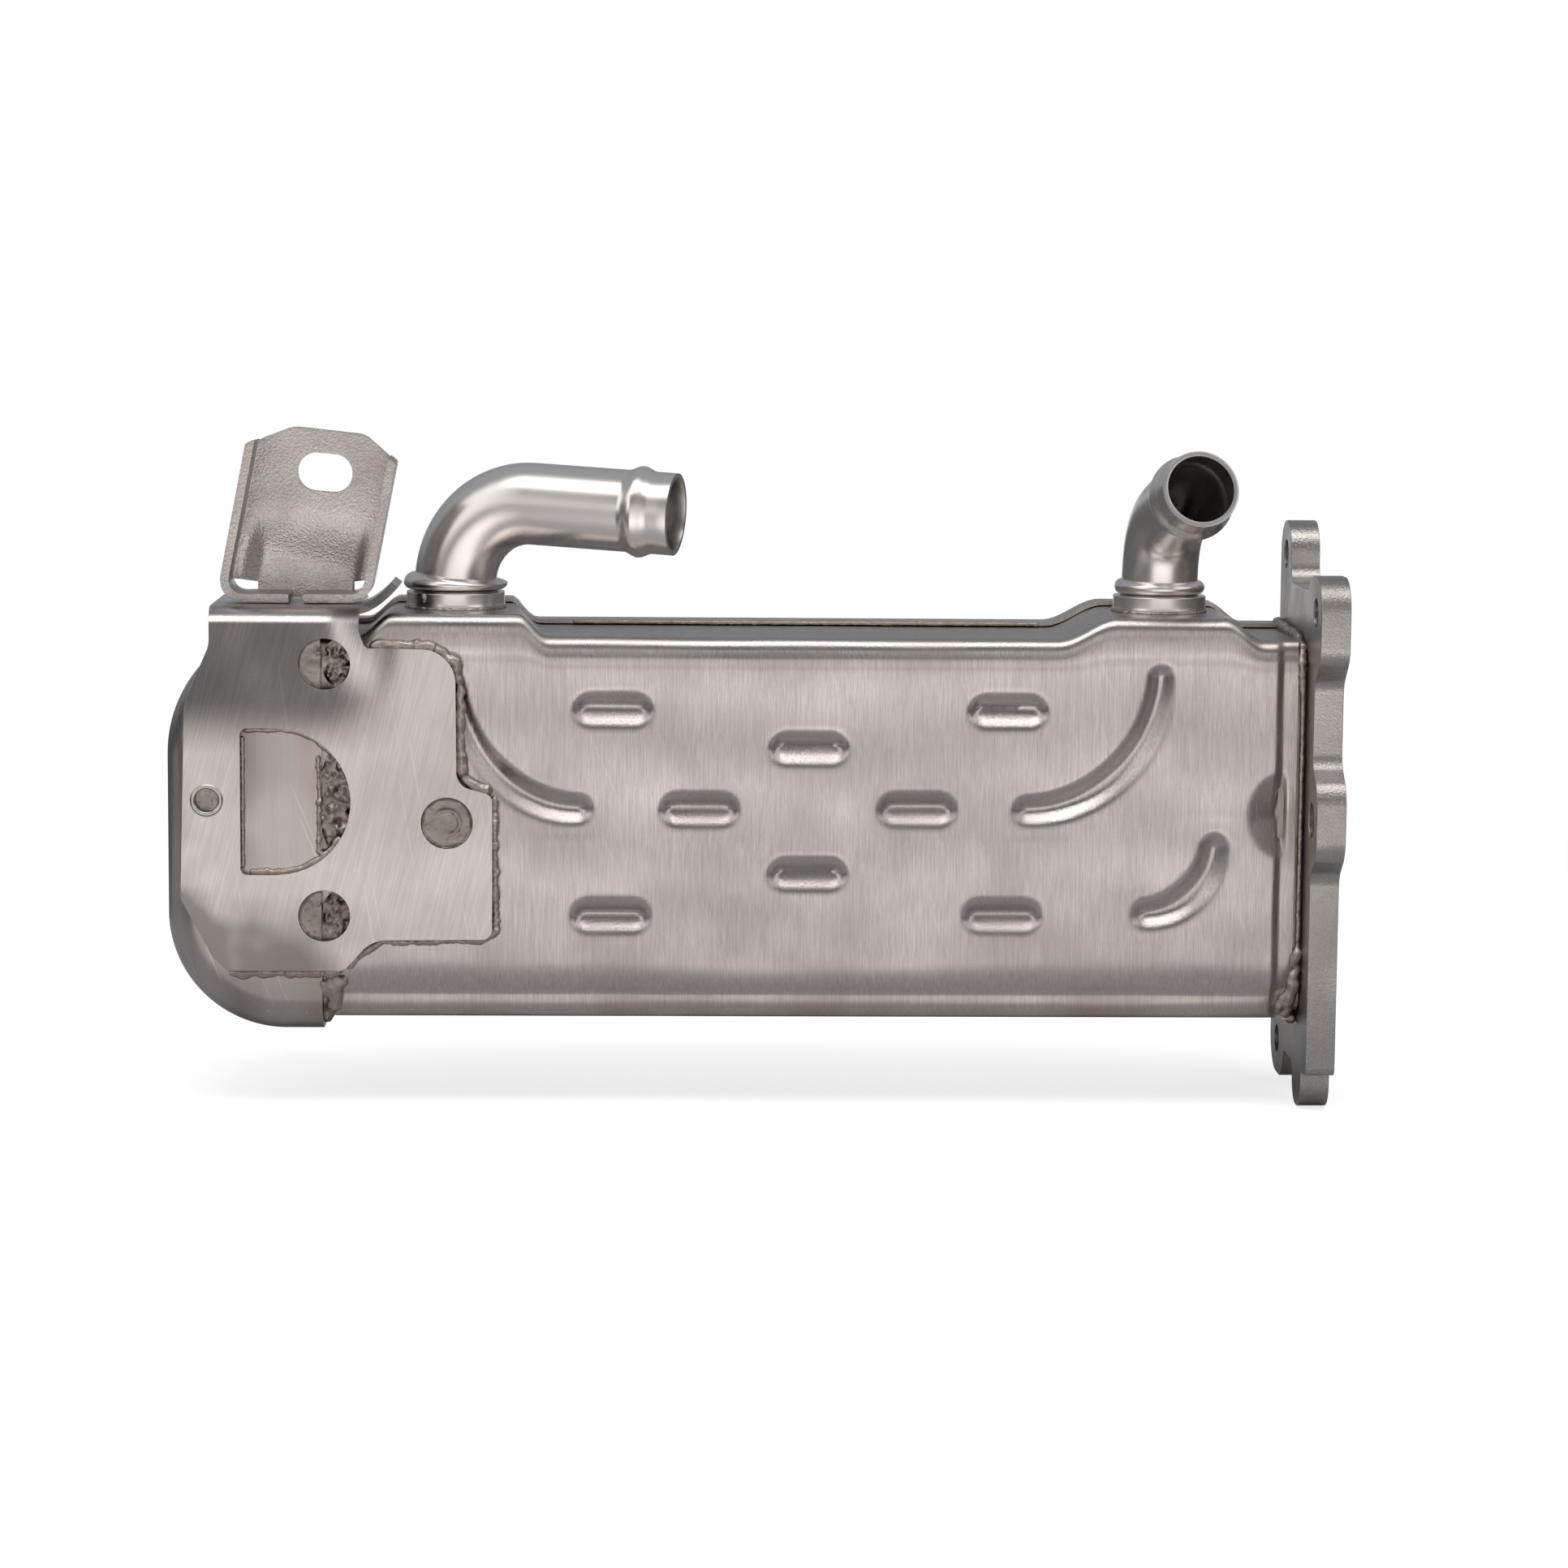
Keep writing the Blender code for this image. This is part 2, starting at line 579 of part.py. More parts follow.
def add_ribs(build, side, grow):
    """Add the curved guide ribs as closed lofts across their own path."""
    for (centre_x, centre_z), (half_x, half_z), first, last in RIBS:
        rings = []
        for index in range(RIB_STATIONS):
            share = index / (RIB_STATIONS - 1)
            angle = math.radians(first + (last - first) * share)
            point = Vector((centre_x + half_x * math.cos(angle), centre_z + half_z * math.sin(angle)))
            along = Vector((-half_x * math.sin(angle), half_z * math.cos(angle))).normalized()
            if last < first:
                along = -along
            across = Vector((-along.y, along.x))
            swell = math.sin(math.pi * min(max(share * (1.0 - share) * 5.5 + 0.12, 0.0), 0.5))
            if share < 0.05:
                point -= along * (RIB_MOUTH_HALF * 0.5 + grow)
            if share > 0.95:
                point += along * (RIB_MOUTH_HALF * 0.5 + grow)
            half = RIB_MOUTH_HALF * swell + grow
            floor = RIB_FLOOR_HALF * swell + grow
            deep = PRESS_DEPTH * swell + grow
            section = (
                (-half, -grow - PRESS_LEAD), (-half, 0.0), (-(half + floor) / 2.0, deep * PRESS_MIDDLE),
                (-floor, deep), (floor, deep), ((half + floor) / 2.0, deep * PRESS_MIDDLE),
                (half, 0.0), (half, -grow - PRESS_LEAD),
            )
            rings.append([
                (point.x + across.x * offset, side * (JACKET_HALF_DEPTH - depth), point.y + across.y * offset)
                for offset, depth in section
            ])
        add_loft(build, rings)


def add_notch(build, grow):
    """Add the bolt recess: half ellipses that open onto the right border."""
    slope_end = JACKET_RIGHT - RIGHT_BORDER
    levels = (
        (-grow - PRESS_LEAD, 1.0, slope_end + 1.0 * MM),
        (0.0, 1.0, slope_end + 1.0 * MM),
        (NOTCH_DEPTH * 0.55, 0.84, slope_end - 0.6 * MM),
        (NOTCH_DEPTH + grow, 0.68, slope_end - 1.8 * MM),
    )
    rings = []
    for depth, share, right in levels:
        ring = []
        for part in range(9):
            angle = math.radians(90.0 + 180.0 * part / 8)
            x = slope_end + (NOTCH_REACH * share + grow) * math.cos(angle)
            z = NOTCH_Z + (NOTCH_HALF_HEIGHT * share + grow) * math.sin(angle)
            ring.append((min(x, right), -JACKET_HALF_DEPTH + depth, z))
        rings.append(ring)
    add_loft(build, rings)


def pressings(name, side, grow, group):
    """All pressed features of one jacket half as one cutter."""
    build = bmesh.new()
    add_dimples(build, side, grow)
    if side < 0:
        add_ribs(build, side, grow)
        add_notch(build, grow)
    mesh = bpy.data.meshes.new(name)
    build.to_mesh(mesh)
    build.free()
    return add_mesh(name, mesh, group)


def jacket_half(name, side, rim, half_height, material, parts, cutters):
    """One pressed half of the coolant jacket, open at its rim and at both ends."""
    shell = pan_body(name, side, 0.0, rim, half_height, parts)
    cavity = pan_body(name + "_cavity", side, JACKET_WALL, rim - side * CUT_MARGIN, half_height, cutters)
    combine(cavity, pressings(name + "_bumps", side, JACKET_WALL, cutters), "DIFFERENCE")
    combine(shell, pressings(name + "_pressings", side, 0.0, cutters), "DIFFERENCE")
    combine(shell, cavity, "DIFFERENCE")
    return finish_piece(shell, material)


def make_jacket(material, parts, cutters):
    """Both jacket halves, with the collar holes in the front one's pads."""
    front = jacket_half("shell_front", -1.0, FRONT_RIM_Y, JACKET_HALF_HEIGHT, material, parts, cutters)
    jacket_half("shell_back", 1.0, BACK_RIM_Y, BACK_HALF_HEIGHT, material, parts, cutters)
    for x, pipe_radius in ((INLET_X, INLET_RADIUS), (OUTLET_X, OUTLET_RADIUS)):
        radius = pipe_radius + SEAT_GAP + SPIGOT_WALL + SEAT_GAP
        hole = add_cylinder(
            "collar_hole", (x, PIPE_Y, PAD_TOP), radius, 2.0 * JACKET_WALL + CUT_MARGIN, "Z", cutters
        )
        combine(front, hole, "DIFFERENCE")


def header_outline(inset):
    """Outline of a header's collar, or of the hollow inside it."""
    half = JACKET_HALF_HEIGHT - JACKET_WALL - SEAT_GAP - inset
    front = INNER_FRONT + SEAT_GAP + inset
    back = INNER_BACK - SEAT_GAP - inset
    corner = JACKET_BEND - JACKET_WALL - SEAT_GAP - inset
    return rounded([(front, -half, corner), (front, half, corner), (back, half, corner), (back, -half, corner)])


def tube_places():
    """Names and centres of the gas tubes in both passes."""
    places = []
    for row, z in (("upper", ROW_Z), ("lower", -ROW_Z)):
        for column in range(TUBE_COLUMNS):
            y = (column - (TUBE_COLUMNS - 1) / 2.0) * TUBE_PITCH
            places.append((f"{row}_{column + 1}", y, z))
    return places


def tube_outline(y, z, grow):
    """Rounded section of a gas tube, grown for its slot or shrunk for its bore."""
    half_y = TUBE_THICK / 2.0 + grow
    half_z = TUBE_HEIGHT / 2.0 + grow
    radius = TUBE_CORNER + grow
    return rounded(
        [(y - half_y, z - half_z, radius), (y - half_y, z + half_z, radius),
         (y + half_y, z + half_z, radius), (y + half_y, z - half_z, radius)],
        step=90.0,
    )


def make_header(name, mouth, face, material, parts, cutters):
    """Drawn tube plate: a slotted plate with a collar that fits inside the jacket's end."""
    way = 1.0 if mouth > face else -1.0
    back = face
    front = face + way * HEADER_WALL
    body = prism(name, [header_outline(0.0)], min(back, mouth), max(back, mouth), "YZ", parts)
    hollow = prism(
        name + "_hollow", [header_outline(HEADER_WALL)],
        min(front, mouth + way * CUT_MARGIN), max(front, mouth + way * CUT_MARGIN), "YZ", cutters,
    )
    slots = prism(
        name + "_slots", [tube_outline(y, z, SEAT_GAP) for _, y, z in tube_places()],
        min(back, front) - CUT_MARGIN / 2.0, max(back, front) + CUT_MARGIN / 2.0, "YZ", cutters,
    )
    combine(body, hollow, "DIFFERENCE")
    combine(body, slots, "DIFFERENCE")
    return finish_piece(body, material)


def fin_outline(y, z, crest, half_height):
    """Section of a corrugated strip whose crests reach both tube walls."""
    count = 2 * FIN_WAVES
    step = 2.0 * half_height / count
    slant = math.hypot(2.0 * crest, step) / step
    lean = FIN_SHEET / 2.0 * slant
    wave = []
    for index in range(count + 1):
        side = 1.0 if index % 2 else -1.0
        wave.append((y + side * (crest - lean), z - half_height + step * index))
    return [(u + lean, v) for u, v in wave] + [(u - lean, v) for u, v in reversed(wave)]


def make_tubes_and_fins(material, parts):
    """Flat gas tubes through both headers, each with a corrugated fin inside."""
    bore_half = TUBE_THICK / 2.0 - TUBE_WALL
    crest = bore_half - SEAT_GAP
    fin_half = TUBE_HEIGHT / 2.0 - TUBE_WALL - TUBE_CORNER
    for place, y, z in tube_places():
        walls = [tube_outline(y, z, 0.0), tube_outline(y, z, -TUBE_WALL)]
        tube = prism("gas_tube_" + place, walls, TUBE_LEFT, TUBE_RIGHT, "YZ", parts)
        finish_piece(tube, material)
        outline = fin_outline(y, z, crest, fin_half)
        fin = prism(
            "fin_" + place, [outline], TUBE_LEFT + FIN_SETBACK, TUBE_RIGHT - FIN_SETBACK, "YZ", parts
        )
        finish_piece(fin, material)


def make_divider(material, parts):
    """Strip that parts the two passes between the flange's web and the header plate."""
    front = INNER_FRONT + 2.0 * SEAT_GAP + HEADER_WALL
    back = INNER_BACK - 2.0 * SEAT_GAP - HEADER_WALL
    half = DIVIDER_THICK / 2.0
    outline = [(front, -half), (back, -half), (back, half), (front, half)]
    low = FLANGE_HEADER_FACE + HEADER_WALL + SEAT_GAP
    strip = prism("pass_divider", [outline], low, FLANGE_HEADER_MOUTH, "YZ", parts)
    finish_piece(strip, material)


def tank_rings(inset, mouth):
    """Stacked outlines of the drawn tank from its front face to its back face."""
    left = TANK_LEFT + inset
    half = TANK_INNER_HALF + TANK_WALL - inset
    front = TANK_FRONT + inset
    back = TANK_INNER_BACK + TANK_WALL - inset
    edge = TANK_EDGE - inset
    rings = []
    steps = 4
    levels = [(front + edge * (1.0 - math.cos(math.radians(a))), edge * (1.0 - math.sin(math.radians(a))))
              for a in (90.0 * part / steps for part in range(steps + 1))]
    levels += [(back + front - y, shrink) for y, shrink in reversed(levels)]
    for y, shrink in levels:
        low_corner = TANK_LOW_CORNER - inset - shrink
        high_corner = TANK_HIGH_CORNER - inset - shrink
        outline = rounded([
            (left + shrink, -half + shrink, low_corner), (left + shrink, half - shrink, high_corner),
            (mouth, half - shrink, 0.0), (mouth, -half + shrink, 0.0),
        ], step=15.0)
        rings.append([(u, y, v) for u, v in outline])
    return rings


def make_tank(material, parts, cutters):
    """Deep drawn return tank that slips over the jacket's left end."""
    tank = loft("return_tank", tank_rings(0.0, TANK_MOUTH), parts)
    hollow = loft("tank_hollow", tank_rings(TANK_WALL, TANK_MOUTH + CUT_MARGIN), cutters)
    combine(tank, hollow, "DIFFERENCE")
    return finish_piece(tank, material)


def flange_outline():
    """Outline of the gas flange as Y and Z, with its ears, lobe and feet."""
    low_ear_front = FLANGE_BACK - LOW_EAR_WIDTH
    far_ear_front = FLANGE_BACK - FAR_EAR_WIDTH
    near_ear_back = EAR_FRONT + NEAR_EAR_WIDTH
    foot_back = FOOT_EAR_FRONT + FOOT_EAR_WIDTH
    return rounded([
        (FLANGE_FRONT, FLANGE_BOTTOM, 2.0 * MM),
        (FLANGE_FRONT, NOTCH_Z - LOBE_HALF, 5.0 * MM),
        (EAR_FRONT, NOTCH_Z - LOBE_HALF + LOBE_SLOPE, 7.0 * MM),
        (EAR_FRONT, NOTCH_Z + LOBE_HALF - LOBE_SLOPE, 7.0 * MM),
        (FLANGE_FRONT, NOTCH_Z + LOBE_HALF, 5.0 * MM),
        (FLANGE_FRONT, NEAR_EAR_TOP - NEAR_EAR_WIDTH * 1.5, 5.0 * MM),
        (EAR_FRONT, NEAR_EAR_TOP - NEAR_EAR_WIDTH * 1.1, 6.0 * MM),
        (EAR_FRONT, NEAR_EAR_TOP, NEAR_EAR_WIDTH * 0.48),
        (near_ear_back, NEAR_EAR_TOP, NEAR_EAR_WIDTH * 0.48),
        (near_ear_back + 3.0 * MM, FLANGE_TOP, 2.5 * MM),
        (far_ear_front, FLANGE_TOP, 5.0 * MM),
        (far_ear_front, FAR_EAR_TOP, FAR_EAR_WIDTH * 0.48),
        (FLANGE_BACK, FAR_EAR_TOP, FAR_EAR_WIDTH * 0.48),
        (FLANGE_BACK, LOW_EAR_BOTTOM, LOW_EAR_WIDTH * 0.45),
        (low_ear_front, LOW_EAR_BOTTOM, LOW_EAR_WIDTH * 0.32),
        (low_ear_front, FLANGE_BOTTOM, 3.0 * MM),
        (foot_back, FLANGE_BOTTOM, 3.0 * MM),
        (foot_back, FOOT_EAR_BOTTOM, FOOT_EAR_WIDTH * 0.46),
        (FOOT_EAR_FRONT, FOOT_EAR_BOTTOM, FOOT_EAR_WIDTH * 0.46),
        (FOOT_EAR_FRONT, FLANGE_BOTTOM, 1.0 * MM),
    ])


def make_flange(material, parts):
    """Gas flange with two ports, the web between them and the bolt holes."""
    far_hole = (FLANGE_BACK - FAR_EAR_WIDTH / 2.0, FAR_EAR_TOP - FAR_EAR_WIDTH / 2.0)
    near_hole = (EAR_FRONT + NEAR_EAR_WIDTH / 2.0, NEAR_EAR_TOP - NEAR_EAR_WIDTH / 2.0)
    low_hole = (FLANGE_BACK - LOW_EAR_WIDTH / 2.0, LOW_EAR_BOTTOM + LOW_EAR_WIDTH * 0.4)
    lobe_hole = (FLANGE_FRONT, NOTCH_Z)
    loops = [flange_outline()]
    loops += [circle(centre, EAR_HOLE) for centre in (far_hole, near_hole, low_hole)]
    loops.append(circle(lobe_hole, LOBE_HOLE))
    for sign in (1.0, -1.0):
        low, high = sorted((sign * WEB_HALF, sign * PORT_TOP))
        loops.append(rounded([
            (-PORT_HALF_DEPTH, low, PORT_CORNER), (-PORT_HALF_DEPTH, high, PORT_CORNER),
            (PORT_HALF_DEPTH, high, PORT_CORNER), (PORT_HALF_DEPTH, low, PORT_CORNER),
        ]))
    flange = prism("gas_flange", loops, FLANGE_INNER_FACE, 0.0, "YZ", parts)
    return finish_piece(flange, material)


def make_collar(name, x, pipe_radius, material, parts):
    """Turned neck that stands on the pad, with a spigot through the jacket's hole."""
    bore = pipe_radius + SEAT_GAP
    spigot = bore + SPIGOT_WALL
    outer = bore + COLLAR_WALL
    foot = PAD_TOP + SEAT_GAP
    top = foot + COLLAR_HEIGHT
    low = PAD_TOP - JACKET_WALL - SEAT_GAP
    profile = [(bore, low), (bore, top), (outer, top), (outer, foot), (spigot, foot), (spigot, low)]
    collar = turned(name, profile, (x, PIPE_Y, 0.0), material, parts)
    return collar


def pipe_swell(distance, length, ring_centre, ring_rise):
    """Growth of a pipe's radius at a place along it: the foot ring and the hose bead."""
    from_ring = abs(distance - ring_centre) / (RING_HEIGHT / 2.0)
    from_bead = abs(distance - (length - END_BEAD_SETBACK)) / (END_BEAD_LENGTH / 2.0)
    swell = ring_rise * math.sqrt(max(0.0, 1.0 - min(from_ring, 1.0) ** 2))
    swell = max(swell, END_BEAD_RISE * (0.5 + 0.5 * math.cos(math.pi * min(from_bead, 1.0))))
    return swell


def make_pipe(name, path, radius, ring_centre, ring_rise, material, parts):
    """Bent pipe: a bevelled curve along its path, hollowed with Solidify."""
    lengths = [0.0]
    for before, after in zip(path, path[1:]):
        lengths.append(lengths[-1] + (after - before).length)
    total = lengths[-1]
    places = [0.0, ring_centre - RING_HEIGHT / 2.0]
    places += [ring_centre + RING_HEIGHT * share for share in (-0.4, 0.0, 0.4)]
    places.append(ring_centre + RING_HEIGHT / 2.0)
    bead_start = total - END_BEAD_SETBACK - END_BEAD_LENGTH / 2.0
    step = (bead_start - places[-1]) / PIPE_STATIONS
    places += [places[-1] + step * part for part in range(1, PIPE_STATIONS)]
    places += [bead_start + END_BEAD_LENGTH * share for share in (0.0, 0.25, 0.5, 0.75, 1.0)]
    places.append(total)
    curve = bpy.data.curves.new(name, "CURVE")
    curve.dimensions = "3D"
    curve.bevel_depth = radius
    curve.bevel_resolution = PIPE_SIDES // 2 - 2
    curve.twist_mode = "MINIMUM"
    spline = curve.splines.new("POLY")
    spline.points.add(len(places) - 1)
    for point, place in zip(spline.points, places):
        spot = along_path(path, lengths, place)
        point.co = (*spot, 1.0)
        point.radius = 1.0 + pipe_swell(place, total, ring_centre, ring_rise) / radius
    holder = bpy.data.objects.new(name + "_curve", curve)
    parts.objects.link(holder)
    pipe = mesh_from_curve(name, holder, parts)
    wall = pipe.modifiers.new("Wall", "SOLIDIFY")
    wall.thickness = PIPE_WALL
    wall.offset = -1.0
    return finish_piece(pipe, material)


def along_path(path, lengths, place):
    """Point on a path of short chords at a given distance."""
    for index in range(1, len(path)):
        if place <= lengths[index] or index == len(path) - 1:
            span = lengths[index] - lengths[index - 1]
            share = (place - lengths[index - 1]) / span
            return path[index - 1].lerp(path[index], share)
    return path[-1]


def bent_path(low, start, heading, start_pull, end_pull, bend_end, tip):
    """Rise, smooth bend and straight run of a coolant pipe."""
    lead = start + Vector((0.0, 0.0, start_pull))
    tail = bend_end - heading * end_pull
    foot = Vector((start.x, start.y, low))
    path = [foot, start]
    for part in range(1, PATH_STEPS + 1):
        t = part / PATH_STEPS
        s = 1.0 - t
        path.append(start * s ** 3 + lead * 3 * s * s * t + tail * 3 * s * t * t + bend_end * t ** 3)
    if (tip - bend_end).length > 0.0:
        path.append(tip)
    return path


def pipe_heading(turn, rise):
    """Direction in which a pipe's mouth points: turned from -Y towards +X, and raised."""
    turn = math.radians(turn)
    rise = math.radians(rise)
    return Vector((math.sin(turn) * math.cos(rise), -math.cos(turn) * math.cos(rise), math.sin(rise)))


def make_pipes(material, parts):
    """Both coolant pipes and their collars."""
    low = PAD_TOP - JACKET_WALL - SEAT_GAP
    ring_low = PAD_TOP + SEAT_GAP + COLLAR_HEIGHT + SEAT_GAP
    ring_centre = ring_low - low + RING_HEIGHT / 2.0
    make_collar("inlet_collar", INLET_X, INLET_RADIUS, material, parts)
    make_collar("outlet_collar", OUTLET_X, OUTLET_RADIUS, material, parts)
    for name, x, radius, ring_rise, turn, rise, reach, run, pulls in (
        ("coolant_inlet_pipe", INLET_X, INLET_RADIUS, INLET_RING_RISE, INLET_TURN, INLET_RISE, INLET_REACH,
         INLET_RUN, INLET_PULLS),
        ("coolant_outlet_pipe", OUTLET_X, OUTLET_RADIUS, OUTLET_RING_RISE, OUTLET_TURN, OUTLET_RISE,
         OUTLET_REACH, 0.0, OUTLET_PULLS),
    ):
        heading = pipe_heading(turn, rise)
        mouth = Vector((x, PIPE_Y, PAD_TOP)) + Vector(reach)
        start = Vector((x, PIPE_Y, low + ring_centre))
        path = bent_path(low, start, heading, *pulls, mouth - heading * run, mouth)
        make_pipe(name, path, radius, ring_centre, ring_rise, material, parts)


def plate_outline():
    """Front outline of the support plate as X and Z, carried up past the fold."""
    above = PLATFORM_TOP + CUT_MARGIN
    shoulder = PLATFORM_TOP - PLATE_SHOULDER_DROP
    inner_right = PLATE_RIGHT - PLATE_TONGUE_REACH
    return rounded([
        (PLATE_FOLD_LEFT, above, 0.0),
        (PLATE_FOLD_LEFT, shoulder, 6.0 * MM),
        (PLATE_LEFT + 1.2 * MM, PLATFORM_TOP - PLATE_LEFT_DROP, 12.0 * MM),
        (PLATE_LEFT, PLATE_HIP_Z, 2.0 * MM),
        (PLATE_LEFT + 7.6 * MM, PLATE_BOTTOM + 3.2 * MM, 6.0 * MM),
        (PLATE_LEFT + 11.0 * MM, PLATE_BOTTOM, 2.0 * MM),
        (PLATE_RIGHT - PLATE_HEEL_SETBACK, PLATE_BOTTOM, 3.0 * MM),
        (PLATE_RIGHT - PLATE_STEP_SETBACK, PLATE_BOTTOM + PLATE_STEP_RISE, 7.0 * MM),
        (PLATE_RIGHT, PLATE_BOTTOM + PLATE_STEP_RISE + 0.2 * MM, 2.5 * MM),
        (PLATE_RIGHT, PLATE_TONGUE_Z, 2.2 * MM),
        (inner_right, PLATE_TONGUE_Z + 2.2 * MM, 4.0 * MM),
        (inner_right - 0.3 * MM, shoulder - 0.8 * MM, 8.0 * MM),
        (PLATE_FOLD_RIGHT + 1.4 * MM, shoulder - 0.5 * MM, 1.6 * MM),
        (PLATE_FOLD_RIGHT, PLATFORM_TOP - PLATE_NOTCH_DROP, 2.0 * MM),
        (PLATE_FOLD_RIGHT, above, 0.0),
    ])


def window_outline():
    """D shaped window: a half circle on the right, and straight sides to its left corners."""
    centre_x, centre_z = WINDOW_CENTRE
    outline = []
    for part in range(WINDOW_STEPS + 1):
        angle = math.radians(-90.0 + 180.0 * part / WINDOW_STEPS)
        outline.append((
            centre_x + WINDOW_RADIUS * math.cos(angle), centre_z + WINDOW_RADIUS * math.sin(angle), 0.0
        ))
    left = centre_x - WINDOW_LEFT
    outline.append((left, centre_z + WINDOW_RADIUS, WINDOW_CORNER))
    outline.append((left, centre_z - WINDOW_RADIUS, WINDOW_CORNER))
    return rounded(outline)


def ear_outline():
    """Side view of the platform's curled right end as X and Z."""
    steps = 5
    upper = []
    for part in range(steps + 1):
        share = part / steps
        upper.append((PLATE_FOLD_RIGHT - 1.0 * MM + (EAR_REACH + 1.0 * MM) * share,
                      PLATFORM_TOP + EAR_LIFT * share ** 1.7))
    lower = []
    for part in range(steps + 1):
        share = part / steps
        slope = EAR_LIFT * 1.7 * share ** 0.7 / EAR_REACH
        lean = math.atan(slope)
        u, v = upper[part]
        lower.append((u + PLATE_THICK * math.sin(lean), v - PLATE_THICK * math.cos(lean)))
    return upper + lower[::-1]


def make_plate(material, parts, cutters):
    """Folded support plate: front leg, platform on top and the platform's curled end."""
    outer = PLATE_FRONT_FACE
    inner = PLATE_BACK_FACE
    top = PLATFORM_TOP
    under = PLATFORM_TOP - PLATE_THICK
    low = PLATE_BOTTOM - CUT_MARGIN
    section = rounded([
        (outer, low, 0.0), (outer, top, PLATE_FOLD), (PLATFORM_BACK, top, 0.0), (PLATFORM_BACK, under, 0.0),
        (inner, under, PLATE_FOLD - PLATE_THICK), (inner, low, 0.0),
    ])
    plate = prism(
        "support_plate", [section], PLATE_LEFT - CUT_MARGIN, PLATE_RIGHT + CUT_MARGIN, "YZ", parts
    )
    trim = prism(
        "plate_trim", [plate_outline()], outer - CUT_MARGIN, PLATFORM_BACK + CUT_MARGIN, "XZ", cutters
    )
    combine(plate, trim, "INTERSECT")
    ear = prism("plate_ear", [ear_outline()], PLATE_FRONT_FACE + PLATE_FOLD, EAR_BACK, "XZ", cutters)
    combine(plate, ear, "UNION")
    lip_x, lip_z = LIP_HOLE_CENTRE
    lip_depth = LIP_RISE + PLATE_THICK / 2.0
    lip_y = PLATE_FRONT_FACE - LIP_RISE + lip_depth / 2.0
    lip = add_cylinder("plate_lip", (lip_x, lip_y, lip_z), LIP_RADIUS, lip_depth, "Y", cutters, sides=16)
    combine(plate, lip, "UNION")
    windows = [circle(centre, BRAZE_HOLE, 20) for centre in BRAZE_HOLES]
    windows.append(window_outline())
    windows.append(circle(LIP_HOLE_CENTRE, LIP_HOLE_RADIUS, 12))
    holes = prism(
        "plate_holes", windows, outer - CUT_MARGIN, PLATE_BACK_FACE + SEAT_GAP / 2.0, "XZ", cutters
    )
    combine(plate, holes, "DIFFERENCE")
    return finish_piece(plate, material)


def tab_point(across, up):
    """Point of the mounting tab's own leaning frame as X and Z."""
    lean = math.radians(TAB_LEAN)
    x = TAB_LEFT + across * math.cos(lean) + up * math.sin(lean)
    return x, TAB_FOOT_LEVEL - across * math.sin(lean) + up * math.cos(lean)


def tab_level(across, level):
    """Point at a height above the feet on one of the tab's leaning lines."""
    lean = math.radians(TAB_LEAN)
    return tab_point(across, (level + across * math.sin(lean)) / math.cos(lean))


def side_outline(left):
    """Side wall and foot of the tab as X and Z."""
    edge = 0.0 if left else TAB_WIDTH
    inward = 1.0 if left else -1.0
    wall_top = TAB_LEFT_TOP if left else TAB_RIGHT_TOP
    outer_high = tab_point(edge, wall_top)
    inner_high = tab_point(edge + inward * TAB_THICK, wall_top + TAB_THICK / 2.0)
    outer_low = tab_level(edge, 0.0)
    inner_low = tab_level(edge + inward * TAB_THICK, TAB_THICK)
    foot_end = TAB_LEFT_FOOT_END if left else TAB_RIGHT_FOOT_END
    return rounded([
        (*outer_high, 0.8 * MM),
        (*outer_low, TAB_BEND),
        (foot_end, TAB_FOOT_LEVEL, 0.0),
        (foot_end, TAB_FOOT_LEVEL + TAB_THICK, 0.5 * MM),
        (*inner_low, TAB_BEND - TAB_THICK),
        (*inner_high, 0.0),
    ])


def web_outline():
    """Face of the tab between its side walls, narrowed at the bottom by two relief windows."""
    half_wall = TAB_THICK / 2.0
    left_low = TAB_FOOT_LEVEL + TAB_RELIEF_TOP
    right_low = left_low - TAB_RELIEF_SLOPE
    outer_low = TAB_RELIEF_TOP + TAB_RELIEF_SLOPE
    foot = TAB_FOOT_LEVEL + SEAT_GAP
    top = [
        (half_wall, TAB_LEFT_TOP, 0.0), (TAB_THICK * 1.6, TAB_LEFT_TOP + 1.6 * MM, 1.0 * MM),
        (TAB_TOP_CORNER + 0.5 * MM, TAB_TOP - 1.0 * MM, 6.0 * MM),
        (TAB_WIDTH - TAB_TOP_CORNER, TAB_TOP + 0.4 * MM, 5.0 * MM),
        (TAB_WIDTH - half_wall, TAB_RIGHT_TOP, 1.0 * MM),
    ]
    left, right = TAB_LEFT + TAB_LEFT_RELIEF, TAB_RIGHT - TAB_RIGHT_RELIEF
    corners = [(*tab_point(across, up), radius) for across, up, radius in top]
    corners.append((*tab_level(TAB_WIDTH - half_wall, outer_low), 0.0))
    corners += [(right, right_low, 0.0), (right, foot, 0.5 * MM)]
    corners += [(left, foot, 0.5 * MM), (left, left_low, 0.0)]
    corners.append((*tab_level(half_wall, outer_low), 0.0))
    return rounded(corners)


def bend_wedge(name, across, side, radius, back, grow, group):
    """Cutter that rounds the outer corner between a wall and the web."""
    ring = [(across - side * grow, back + grow), (across + side * radius, back + grow)]
    for part in range(BEND_STEPS + 1):
        angle = math.radians(90.0 * part / BEND_STEPS)
        ring.append((
            across + side * radius * (1.0 - math.sin(angle)), back - radius * (1.0 - math.cos(angle))
        ))
    ring.append((across - side * grow, back - radius))
    rings = []
    for up in (TAB_RELIEF_TOP, TAB_TOP + grow):
        rings.append([])
        for u, y in ring:
            x, z = tab_point(u, up)
            rings[-1].append((x, y, z))
    return loft(name, rings, group)


